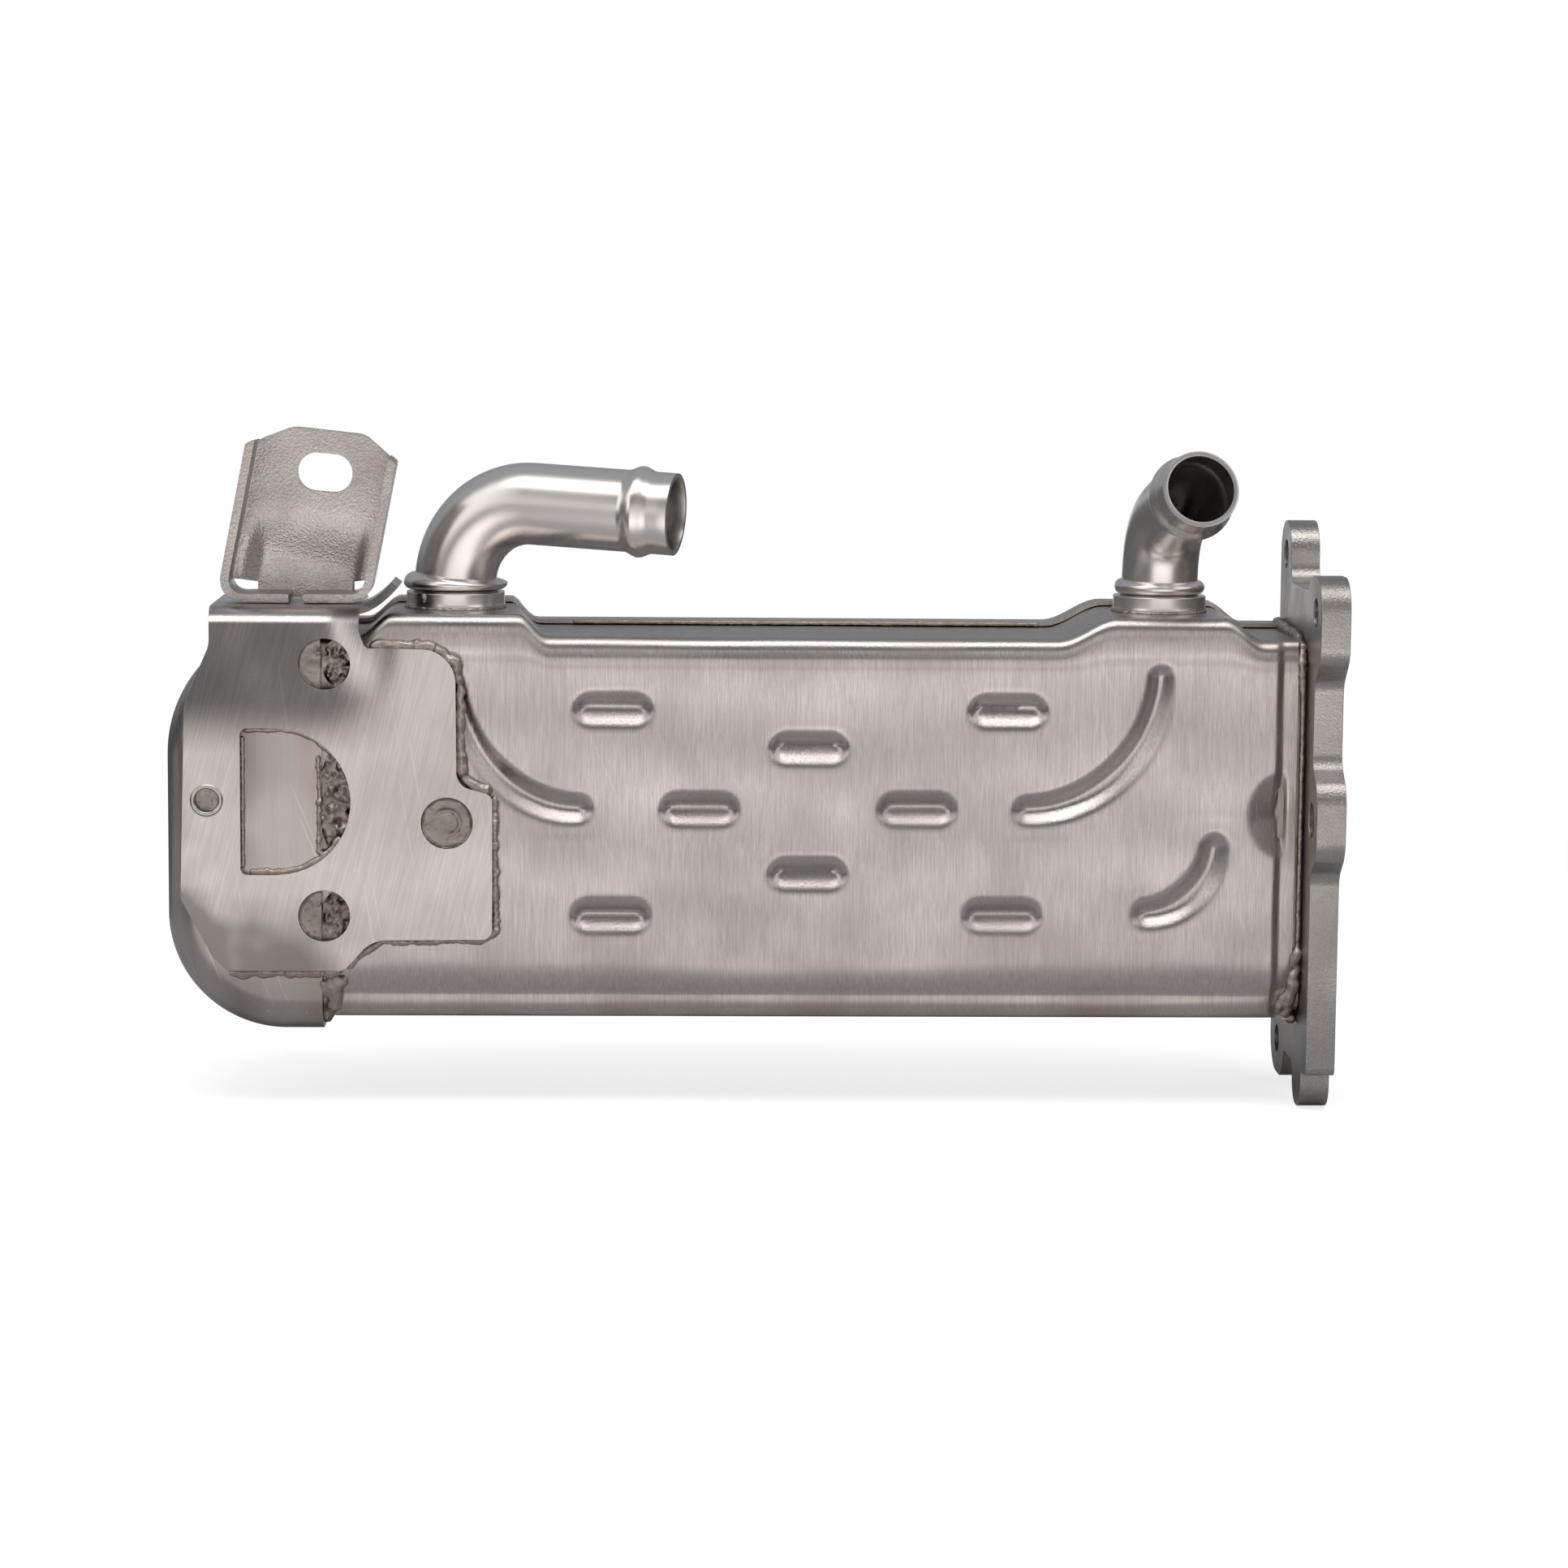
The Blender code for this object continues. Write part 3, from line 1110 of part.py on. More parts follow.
def panel_wedge(name, back, reach, grow, group):
    """Set-back lower panel of the web as a wedge that fades out at its top."""
    rings = []
    for across in (TAB_PANEL_EDGE - grow, TAB_WIDTH - TAB_PANEL_FAR_MARGIN + grow):
        low = tab_level(across, TAB_PANEL_LOW - grow)
        fade = tab_point(across, TAB_PANEL_TOP + TAB_PANEL_FADE)
        top = tab_point(across, TAB_PANEL_TOP)
        rings.append([
            (low[0], back - reach, low[1]),
            (fade[0], back - reach, fade[1]),
            (fade[0], back, fade[1]),
            (top[0], back + TAB_PANEL_SET, top[1]),
            (low[0], back + TAB_PANEL_SET, low[1]),
        ])
    return loft(name, rings, group)


def make_tab(material, parts, cutters):
    """Stamped tab: two side walls with feet, and a set-back web with the slotted hole."""
    wall_back = TAB_BACK - TAB_THICK / 4.0
    web_front = TAB_BACK - TAB_THICK
    tab = prism("mounting_tab", [web_outline()], web_front, TAB_BACK, "XZ", parts)
    bulge = panel_wedge("panel_bulge", TAB_BACK, TAB_THICK / 2.0, TAB_PANEL_SPREAD, cutters)
    combine(tab, bulge, "UNION")
    combine(tab, panel_wedge("panel_hollow", web_front, CUT_MARGIN, 0.0, cutters), "DIFFERENCE")
    for left in (True, False):
        wall = prism("tab_wall", [side_outline(left)], TAB_FRONT, wall_back, "XZ", cutters)
        combine(tab, wall, "UNION")
    for across, side in ((0.0, 1.0), (TAB_WIDTH, -1.0)):
        bend = bend_wedge("tab_bend", across, side, TAB_EDGE_BEND, TAB_BACK, CUT_MARGIN, cutters)
        combine(tab, bend, "DIFFERENCE")
    tilt = math.radians(SLOT_TILT)
    slot_x, slot_z = tab_point(TAB_WIDTH / 2.0 + SLOT_OFFSET, SLOT_UP)
    slot = []
    for u, v in stadium((0.0, 0.0), SLOT_LENGTH, SLOT_WIDTH):
        slot.append((
            slot_x + u * math.cos(tilt) + v * math.sin(tilt), slot_z + v * math.cos(tilt) - u * math.sin(tilt)
        ))
    hole = prism("tab_slot", [slot], web_front - CUT_MARGIN, TAB_BACK + CUT_MARGIN, "XZ", cutters)
    combine(tab, hole, "DIFFERENCE")
    return finish_piece(tab, material)


def main():
    """Build the whole cooler."""
    clear_scene()
    parts = new_collection("egr_cooler")
    cutters = new_collection("cutters")
    jacket_steel = steel("brushed jacket steel", STEEL, 0.34)
    flange_steel = steel("blasted flange steel", FLANGE_STEEL, 0.45)
    plate_steel = steel("brushed plate steel", BRACKET_STEEL, 0.38)
    tab_steel = steel("blasted tab steel", TAB_STEEL, 0.48)
    inner_steel = steel("inner steel", INNER_STEEL, 0.45)
    make_jacket(jacket_steel, parts, cutters)
    make_tank(jacket_steel, parts, cutters)
    make_flange(flange_steel, parts)
    make_header("flange_header", FLANGE_HEADER_MOUTH, FLANGE_HEADER_FACE, inner_steel, parts, cutters)
    make_header("tank_header", JACKET_LEFT, TANK_HEADER_FACE, inner_steel, parts, cutters)
    make_tubes_and_fins(inner_steel, parts)
    make_divider(inner_steel, parts)
    make_pipes(jacket_steel, parts)
    make_plate(plate_steel, parts, cutters)
    make_tab(tab_steel, parts, cutters)


main()
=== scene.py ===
"""The look of an EGR cooler: pressed, drawn, cast and brazed steel pieces, light and camera.

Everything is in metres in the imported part's own frame. The origin is the centre of the gas
flange's mating face, +X points out of that face, -Y is the side with the support plate and
+Z is up, where the coolant pipes stand.
"""

import json
import logging
import math
from collections.abc import Callable, Iterable, Sequence
from dataclasses import dataclass
from enum import Enum

import bmesh
import bpy
import numpy as np
from mathutils import Matrix, Vector

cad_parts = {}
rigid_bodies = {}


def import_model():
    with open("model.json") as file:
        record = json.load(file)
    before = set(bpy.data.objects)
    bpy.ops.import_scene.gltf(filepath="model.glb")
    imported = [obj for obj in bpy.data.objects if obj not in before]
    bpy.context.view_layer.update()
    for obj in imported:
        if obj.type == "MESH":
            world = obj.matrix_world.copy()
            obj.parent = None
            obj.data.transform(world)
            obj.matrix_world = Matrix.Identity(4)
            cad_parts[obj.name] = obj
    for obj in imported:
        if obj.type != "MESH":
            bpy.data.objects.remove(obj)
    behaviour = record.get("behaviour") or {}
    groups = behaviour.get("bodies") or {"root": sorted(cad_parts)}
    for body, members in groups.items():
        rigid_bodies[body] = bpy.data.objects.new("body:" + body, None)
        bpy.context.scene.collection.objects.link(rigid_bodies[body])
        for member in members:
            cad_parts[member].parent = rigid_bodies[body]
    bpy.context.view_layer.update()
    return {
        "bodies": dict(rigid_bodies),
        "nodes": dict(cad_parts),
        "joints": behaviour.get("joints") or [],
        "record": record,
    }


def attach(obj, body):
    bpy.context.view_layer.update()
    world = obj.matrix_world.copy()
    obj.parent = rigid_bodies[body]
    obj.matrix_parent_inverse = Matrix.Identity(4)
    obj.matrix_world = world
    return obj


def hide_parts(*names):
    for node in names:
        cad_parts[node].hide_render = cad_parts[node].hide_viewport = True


MM = 0.001
WHITE = (1.0, 1.0, 1.0, 1.0)
LOG = logging.getLogger("egr_cooler")

Pair = tuple[float, float]
Corner = tuple[float, float, float]
Colour = tuple[float, float, float]
Socket = bpy.types.NodeSocket
Item = bpy.types.Object


class Plane(Enum):
    """Flat planes in which outlines are drawn."""

    XZ = "xz"
    YZ = "yz"

    def point(self, u: float, v: float, level: float) -> Vector:
        """Place of an outline point.

        Args:
            u: First coordinate in the plane, in millimetres.
            v: Second coordinate in the plane, in millimetres.
            level: Distance along the plane's own axis, in millimetres.

        Returns:
            The point in metres.
        """
        return Vector((u, level, v) if self is Plane.XZ else (level, u, v)) * MM

    def along(self, distance: float) -> Vector:
        """Move of a distance in millimetres along the plane's own axis."""
        return self.point(0.0, 0.0, distance)

    def facing(self) -> Corner:
        """Turn that sets a round tool square on the plane."""
        quarter = math.pi / 2.0
        return (quarter, 0.0, 0.0) if self is Plane.XZ else (0.0, quarter, 0.0)


class Side(Enum):
    """The two pressed halves of the jacket."""

    FRONT = -1.0
    BACK = 1.0


class Join(Enum):
    """Ways to join a cutter with a piece."""

    CUT = "DIFFERENCE"
    ADD = "UNION"
    KEEP = "INTERSECT"


class Bench:
    """Hand tools, each one a wrapper round Blender's own operators."""

    @staticmethod
    def clear() -> None:
        """Leave edit mode and deselect everything."""
        if bpy.context.mode != "OBJECT":
            bpy.ops.object.mode_set(mode="OBJECT")
        bpy.ops.object.select_all(action="DESELECT")

    @staticmethod
    def take(item: Item) -> Item:
        """Select one object alone and make it active."""
        Bench.clear()
        item.select_set(True)
        bpy.context.view_layer.objects.active = item
        return item

    @staticmethod
    def pick(item: Item, kind: str, test: Callable[[object], bool]) -> int:
        """Go into edit mode and select some of a mesh.

        Args:
            item: The mesh object.
            kind: VERT, EDGE or FACE.
            test: Says whether an element is selected.

        Returns:
            How many elements are selected.
        """
        if bpy.context.mode == "OBJECT":
            Bench.take(item)
            bpy.ops.object.mode_set(mode="EDIT")
        kinds = ("VERT", "EDGE", "FACE")
        bpy.context.tool_settings.mesh_select_mode = tuple(kind == one for one in kinds)
        mesh = bmesh.from_edit_mesh(item.data)
        groups = dict(zip(kinds, (mesh.verts, mesh.edges, mesh.faces)))
        for group in groups.values():
            for element in group:
                element.select = False
        count = 0
        for element in groups[kind]:
            if test(element):
                element.select_set(True)
                count += 1
        bmesh.update_edit_mesh(item.data)
        return count

    @staticmethod
    def pick_all(item: Item, kind: str = "FACE") -> None:
        """Go into edit mode and select all elements of a kind."""
        Bench.pick(item, kind, lambda element: True)

    @staticmethod
    def outline(name: str, corners: Sequence[Corner], plane: Plane, level: float, step: float
                ) -> Item:
        """Draw a closed flat face and round its corners.

        Args:
            name: Name of the new object.
            corners: Corners as (u, v, radius) in millimetres.
            plane: The plane of the face.
            level: Where the plane lies along its axis, in millimetres.
            step: Turn of one facet of a rounded corner, in degrees.

        Returns:
            The face as an object.
        """
        Bench.clear()
        bpy.ops.mesh.primitive_circle_add(vertices=len(corners), radius=1.0, fill_type="NGON")
        item = bpy.context.object
        item.name = item.data.name = name
        for vertex, (u, v, _) in zip(item.data.vertices, corners):
            vertex.co = plane.point(u, v, level)
        for index, (u, v, radius) in enumerate(corners):
            spot = plane.point(u, v, level)
            before = plane.point(*corners[index - 1][:2], level) - spot
            after = plane.point(*corners[(index + 1) % len(corners)][:2], level) - spot
            turn = math.pi - before.angle(after)
            if radius <= 0.0 or turn < math.radians(1.0):
                continue
            Bench.pick(item, "VERT", lambda vertex: (vertex.co - spot).length < 0.01 * MM)
            bpy.ops.mesh.bevel(
                affect="VERTICES", offset_type="OFFSET", offset=radius * MM * math.tan(turn / 2.0),
                segments=max(2, round(math.degrees(turn) / step)), profile=0.5, clamp_overlap=False,
            )
        Bench.clear()
        return item

    @staticmethod
    def prism(name: str, corners: Sequence[Corner], plane: Plane, low: float, high: float,
              step: float = 6.0) -> Item:
        """Extrude a rounded outline between two levels.

        Args:
            name: Name of the new object.
            corners: Corners as (u, v, radius) in millimetres.
            plane: The plane of the outline.
            low: Level of one end, in millimetres.
            high: Level of the other end, in millimetres.
            step: Turn of one facet of a rounded corner, in degrees.

        Returns:
            The closed solid.
        """
        item = Bench.outline(name, corners, plane, low, step)
        Bench.pick_all(item)
        bpy.ops.mesh.extrude_region_move(TRANSFORM_OT_translate={"value": plane.along(high - low)})
        return Bench.point_out(item)

    @staticmethod
    def drill(spot: Vector, plane: Plane, radius: float, depth: float, facets: int) -> Item:
        """Make a round cutter.

        Args:
            spot: Its middle, in metres.
            plane: The plane that it goes through.
            radius: Its radius in millimetres.
            depth: Its length in millimetres.
            facets: Facets round it.

        Returns:
            The cutter.
        """
        Bench.clear()
        bpy.ops.mesh.primitive_cylinder_add(vertices=facets, radius=radius * MM, depth=depth * MM,
                                            location=spot, rotation=plane.facing())
        return Bench.settle()

    @staticmethod
    def settle() -> Item:
        """Write the active object's own move and turn into its mesh."""
        bpy.ops.object.transform_apply(location=True, rotation=True, scale=True)
        return bpy.context.object

    @staticmethod
    def point_out(item: Item) -> Item:
        """Merge doubles and turn all faces of a closed mesh outwards."""
        Bench.pick_all(item)
        bpy.ops.mesh.remove_doubles(threshold=0.001 * MM)
        bpy.ops.mesh.normals_make_consistent(inside=False)
        Bench.clear()
        return item

    @staticmethod
    def apply(item: Item, kind: str, **values: object) -> Item:
        """Add a modifier, set its values and apply it."""
        Bench.take(item)
        modifier = item.modifiers.new(kind.title(), kind)
        for key, value in values.items():
            setattr(modifier, key, value)
        bpy.ops.object.modifier_apply(modifier=modifier.name)
        return item

    @staticmethod
    def join(item: Item, cutter: Item, way: Join) -> Item:
        """Cut, add or intersect with another solid, which is then removed."""
        Bench.apply(item, "BOOLEAN", solver="EXACT", operation=way.value, object=cutter)
        bpy.data.objects.remove(cutter, do_unlink=True)
        return item

    @staticmethod
    def soften(item: Item, width: float, segments: int = 3, angle: float = 32.0) -> Item:
        """Break the sharp edges of a solid.

        Args:
            item: The solid.
            width: Width of the broken edge in millimetres.
            segments: Facets across the edge.
            angle: Only edges that turn by more than this many degrees are broken.

        Returns:
            The same solid.
        """
        Bench.pick_all(item)
        bpy.ops.mesh.remove_doubles(threshold=0.004 * MM)
        bpy.ops.mesh.dissolve_limited(angle_limit=math.radians(0.4))
        Bench.clear()
        Bench.apply(item, "BEVEL", width=width * MM, segments=segments, limit_method="ANGLE",
                    angle_limit=math.radians(angle), use_clamp_overlap=True)
        item.data.shade_smooth()
        return Bench.apply(item, "WEIGHTED_NORMAL", keep_sharp=True, weight=60)

    @staticmethod
    def smooth(item: Item, angle: float) -> Item:
        """Smooth the shading except across edges sharper than an angle in degrees."""
        Bench.take(item)
        bpy.ops.object.shade_smooth_by_angle(angle=math.radians(angle))
        return item

    @staticmethod
    def read(item: Item) -> np.ndarray:
        """Vertex places as an array."""
        flat = np.zeros(len(item.data.vertices) * 3)
        item.data.vertices.foreach_get("co", flat)
        return flat.reshape(-1, 3)

    @staticmethod
    def write(item: Item, places: np.ndarray) -> None:
        """Set vertex places from an array."""
        item.data.vertices.foreach_set("co", places.astype(np.float32).ravel())
        item.data.update()

    @staticmethod
    def rope(name: str, points: Sequence[Vector], radius: float, factors: Sequence[float],
             roundness: int, caps: bool) -> Item:
        """Sweep a round section along points.

        Args:
            name: Name of the new object.
            points: Places along the path, in metres.
            radius: Radius of the section in millimetres.
            factors: Share of that radius at each point.
            roundness: Bevel resolution of the section.
            caps: Whether the ends are closed.

        Returns:
            The swept mesh.
        """
        Bench.clear()
        curve = bpy.data.curves.new(name, "CURVE")
        curve.dimensions = "3D"
        curve.bevel_depth = radius * MM
        curve.bevel_resolution = roundness
        curve.use_fill_caps = caps
        curve.twist_mode = "MINIMUM"
        spline = curve.splines.new("POLY")
        spline.points.add(len(points) - 1)
        for point, place, factor in zip(spline.points, points, factors):
            point.co = (*place, 1.0)
            point.radius = factor
        item = bpy.data.objects.new(name, curve)
        bpy.context.scene.collection.objects.link(item)
        Bench.take(item)
        bpy.ops.object.convert(target="MESH")
        return bpy.context.object

    @staticmethod
    def bead(path: Sequence[Corner], radius: float, lump: float, seed: int) -> Item:
        """Lay a lumpy weld or braze bead.

        Args:
            path: Corner points of the bead's path, in millimetres.
            radius: Mean radius in millimetres.
            lump: How much the radius wanders, as a share.
            seed: Seed of the wandering.

        Returns:
            The bead as a closed mesh.
        """
        pitch, wander, evening = 0.8, 0.25, [0.2, 0.6, 0.2]
        slimmest, fattest, tip = 0.45, 1.7, 0.55
        chance = np.random.default_rng(seed)
        corners = np.array(path, float)
        steps = np.linalg.norm(np.diff(corners, axis=0), axis=1)
        lengths = np.concatenate([[0.0], np.cumsum(steps)])
        count = max(4, int(lengths[-1] / (radius * pitch)))
        along = np.linspace(0.0, lengths[-1], count)
        spots = np.stack([np.interp(along, lengths, corners[:, axis]) for axis in range(3)], axis=1)
        spots[1:-1] += chance.normal(0.0, radius * lump * wander, (count - 2, 3))
        swell = 1.0 + lump * chance.normal(0.0, 0.5, count)
        evened = np.convolve(np.pad(swell, 1, mode="edge"), evening, "valid")
        factors = np.clip(evened, slimmest, fattest)
        factors[[0, -1]] *= tip
        points = [Vector(spot) * MM for spot in spots]
        return Bench.rope("bead", points, radius, list(factors), 2, True)

    @staticmethod
    def fuse(name: str, beads: Sequence[Item], voxel: float, rough: float) -> Item:
        """Melt several beads into one organic solid.

        Args:
            name: Name of the result.
            beads: The beads, which are used up.
            voxel: Grain of the remesh in millimetres.
            rough: Height of the surface's fine lumps in millimetres.

        Returns:
            The fused solid.
        """
        Bench.clear()
        for bead in beads:
            bead.select_set(True)
        bpy.context.view_layer.objects.active = beads[0]
        bpy.ops.object.join()
        item = bpy.context.object
        item.name = item.data.name = name
        Bench.apply(item, "REMESH", mode="VOXEL", voxel_size=voxel * MM)
        clouds = bpy.data.textures.new(name + "_lumps", "CLOUDS")
        clouds.noise_scale = voxel * 5.0 * MM
        clouds.noise_depth = 3
        Bench.apply(item, "DISPLACE", texture=clouds, strength=rough * MM, texture_coords="LOCAL")
        Bench.apply(item, "SMOOTH", factor=0.5, iterations=2)
        item.data.shade_smooth()
        return item


def arc(middle: Pair, radius: float, degrees: Iterable[float]) -> list[Pair]:
    """Points on a circle at angles in degrees."""
    angles = [math.radians(angle) for angle in degrees]
    return [(middle[0] + radius * math.cos(a), middle[1] + radius * math.sin(a)) for a in angles]


def ease(share: np.ndarray, lean: float = 1.0) -> np.ndarray:
    """Smooth step from 0 to 1. A lean over 1 makes it start later, a lean under 1 sooner."""
    share = np.clip(share, 0.0, 1.0) ** lean
    return share * share * (3.0 - 2.0 * share)


class Wires:
    """Shorthand for laying shader nodes in one tree."""

    def __init__(self, tree: bpy.types.NodeTree) -> None:
        """Work in one node tree."""
        self.tree = tree

    def add(self, kind: str, links: dict[str | int, object] | None = None, **values: object
            ) -> bpy.types.Node:
        """Add a node.

        Args:
            kind: Name of its type, without ShaderNode.
            links: Input name or number to a plain value or to a source socket.
            values: Attributes of the node.

        Returns:
            The node.
        """
        item = self.tree.nodes.new("ShaderNode" + kind)
        for key, value in values.items():
            setattr(item, key, value)
        for key, value in (links or {}).items():
            self.feed(item.inputs[key], value)
        return item

    def feed(self, socket: Socket, value: object) -> None:
        """Link an input to a source socket or give it a plain value."""
        if isinstance(value, Socket):
            self.tree.links.new(value, socket)
        else:
            socket.default_value = value

    def group(self, group: bpy.types.NodeTree, **links: object) -> bpy.types.NodeOutputs:
        """Place a shared group with its own values and give its outputs."""
        return self.add("Group", links, node_tree=group).outputs

    def math(self, operation: str, *values: object, clamp: bool = False) -> Socket:
        """Result of a sum on numbers."""
        item = self.add("Math", dict(enumerate(values)), operation=operation, use_clamp=clamp)
        return item.outputs[0]

    def vector(self, operation: str, *values: object) -> bpy.types.NodeOutputs:
        """Results of a sum on vectors."""
        return self.add("VectorMath", dict(enumerate(values)), operation=operation).outputs

    def noise(self, place: Socket, scale: Socket, detail: float, roughness: float = 0.5) -> Socket:
        """Noise at a place."""
        links = {"Vector": place, "Scale": scale, "Detail": detail, "Roughness": roughness}
        return self.add("TexNoise", links).outputs["Fac"]

    def span(self, value: Socket, start: float, end: float) -> Socket:
        """Share of the way from a start to an end."""
        return self.add("MapRange", {"Value": value, "From Min": start, "From Max": end}).outputs[0]

    def step(self, value: Socket, start: float, end: float) -> Socket:
        """Smooth step from 0 at a start to 1 at an end."""
        links = {"Value": value, "From Min": start, "From Max": end}
        return self.add("MapRange", links, interpolation_type="SMOOTHSTEP").outputs[0]

    def mix(self, mask: Socket, first: object, second: object) -> Socket:
        """Mix two colours by a mask."""
        return self.add("Mix", {0: mask, 6: first, 7: second}, data_type="RGBA").outputs[2]

    def blend(self, share: Socket, first: Socket, second: Socket) -> Socket:
        """Mix two shaders by a share."""
        return self.add("MixShader", {0: share, 1: first, 2: second}).outputs[0]

    def bump(self, height: Socket, depth: float, normal: Socket | None = None) -> Socket:
        """Bump of a depth in metres, on top of another one. A depth below 0 turns it round."""
        links: dict[str | int, object] = {"Height": height, "Strength": 1.0, "Distance": abs(depth)}
        if normal is not None:
            links["Normal"] = normal
        return self.add("Bump", links, invert=depth < 0.0).outputs["Normal"]


class Effects:
    """Shader node groups that several steels share."""

    def __init__(self) -> None:
        """Build every group once."""
        self.grain = self._grain()
        self.mottle = self._mottle()
        self.pits = self._pits()
        self.scratches = self._scratches()
        self.band = self._band()

    @staticmethod
    def _open(name: str, vectors: str, numbers: str, results: str
              ) -> tuple[Wires, bpy.types.NodeOutputs, bpy.types.NodeInputs]:
        """Start a group.

        Args:
            name: Name of the group.
            vectors: Names of its vector inputs.
            numbers: Names of its number inputs.
            results: Names of its outputs.

        Returns:
            Its wires, what it is given and the sockets of its results.
        """
        tree = bpy.data.node_groups.new(name, "ShaderNodeTree")
        for names, way, kind in ((vectors, "INPUT", "Vector"), (numbers, "INPUT", "Float"),
                                 (results, "OUTPUT", "Float")):
            for socket in names.split():
                tree.interface.new_socket(name=socket, in_out=way, socket_type="NodeSocket" + kind)
        given = tree.nodes.new("NodeGroupInput").outputs
        return Wires(tree), given, tree.nodes.new("NodeGroupOutput").inputs

    @staticmethod
    def _drawn(wires: Wires, given: bpy.types.NodeOutputs, stretch: object) -> Socket:
        """The given place, turned and then drawn out along one direction."""
        turned = wires.add("VectorRotate", {"Vector": given["Vector"], "Rotation": given["Turn"]},
                           rotation_type="EULER_XYZ")
        return wires.vector("MULTIPLY", turned.outputs[0], stretch)["Vector"]

    def _grain(self) -> bpy.types.NodeTree:
        """Fine brushed lines: noise that is drawn out along one direction."""
        wires, given, out = self._open("brushed grain", "Vector Turn Stretch", "Scale", "Lines")
        place = self._drawn(wires, given, given["Stretch"])
        noise = wires.noise(place, given["Scale"], detail=5.0, roughness=0.72)
        wires.feed(out["Lines"], wires.span(noise, 0.28, 0.72))
        return wires.tree

    def _mottle(self) -> bpy.types.NodeTree:
        """Soft patches of handling and heat."""
        wires, given, out = self._open("soft mottle", "Vector", "Scale", "Patches")
        noise = wires.noise(given["Vector"], given["Scale"], detail=2.0)
        wires.feed(out["Patches"], wires.step(noise, 0.25, 0.75))
        return wires.tree

    def _pits(self) -> bpy.types.NodeTree:
        """Crowded small pits of a blasted or cast skin, and a mask of painted glints on them, specks
        of painted highlight.
        """
        wires, given, out = self._open("blasted pits", "Vector", "Scale", "Height Glints")
        cells = wires.add("TexVoronoi", {"Vector": given["Vector"], "Scale": given["Scale"],
                                         "Randomness": 1.0})
        noise = wires.noise(given["Vector"], given["Scale"], detail=4.0, roughness=0.7)
        wires.feed(out["Height"], wires.math("MULTIPLY", cells.outputs["Distance"], noise))
        wires.feed(out["Glints"], wires.span(noise, 0.56, 0.66))
        return wires.tree

    def _scratches(self) -> bpy.types.NodeTree:
        """Sparse long handling scratches."""
        wires, given, out = self._open("thin scratches", "Vector Turn", "Scale", "Marks")
        place = self._drawn(wires, given, (1.0, 1.0, 0.02))
        noise = wires.noise(place, given["Scale"], detail=0.0)
        wires.feed(out["Marks"], wires.span(noise, 0.74, 0.82))
        return wires.tree

    def _band(self) -> bpy.types.NodeTree:
        """Mask of a stain along a seam, or of a band of painted shade: full at a centre plane and
        fading with distance.
        """
        wires, given, out = self._open("seam stain", "Vector Axis", "Centre Width Patches", "Mask")
        along = wires.vector("DOT_PRODUCT", given["Vector"], given["Axis"])["Value"]
        away = wires.math("ABSOLUTE", wires.math("SUBTRACT", along, given["Centre"]))
        share = wires.math("DIVIDE", away, given["Width"])
        near = wires.math("SUBTRACT", 1.0, share, clamp=True)
        wires.feed(out["Mask"], wires.math("MULTIPLY", near, given["Patches"], clamp=True))
        return wires.tree


@dataclass(frozen=True)
class StainOrShade:
    """A heat or braze stain, or a band of painted shade, along a plane of the part. Lengths in
    millimetres.
    """

    axis: Corner
    centre: float
    width: float
    strength: float
    tint: Colour = (0.33, 0.25, 0.19)


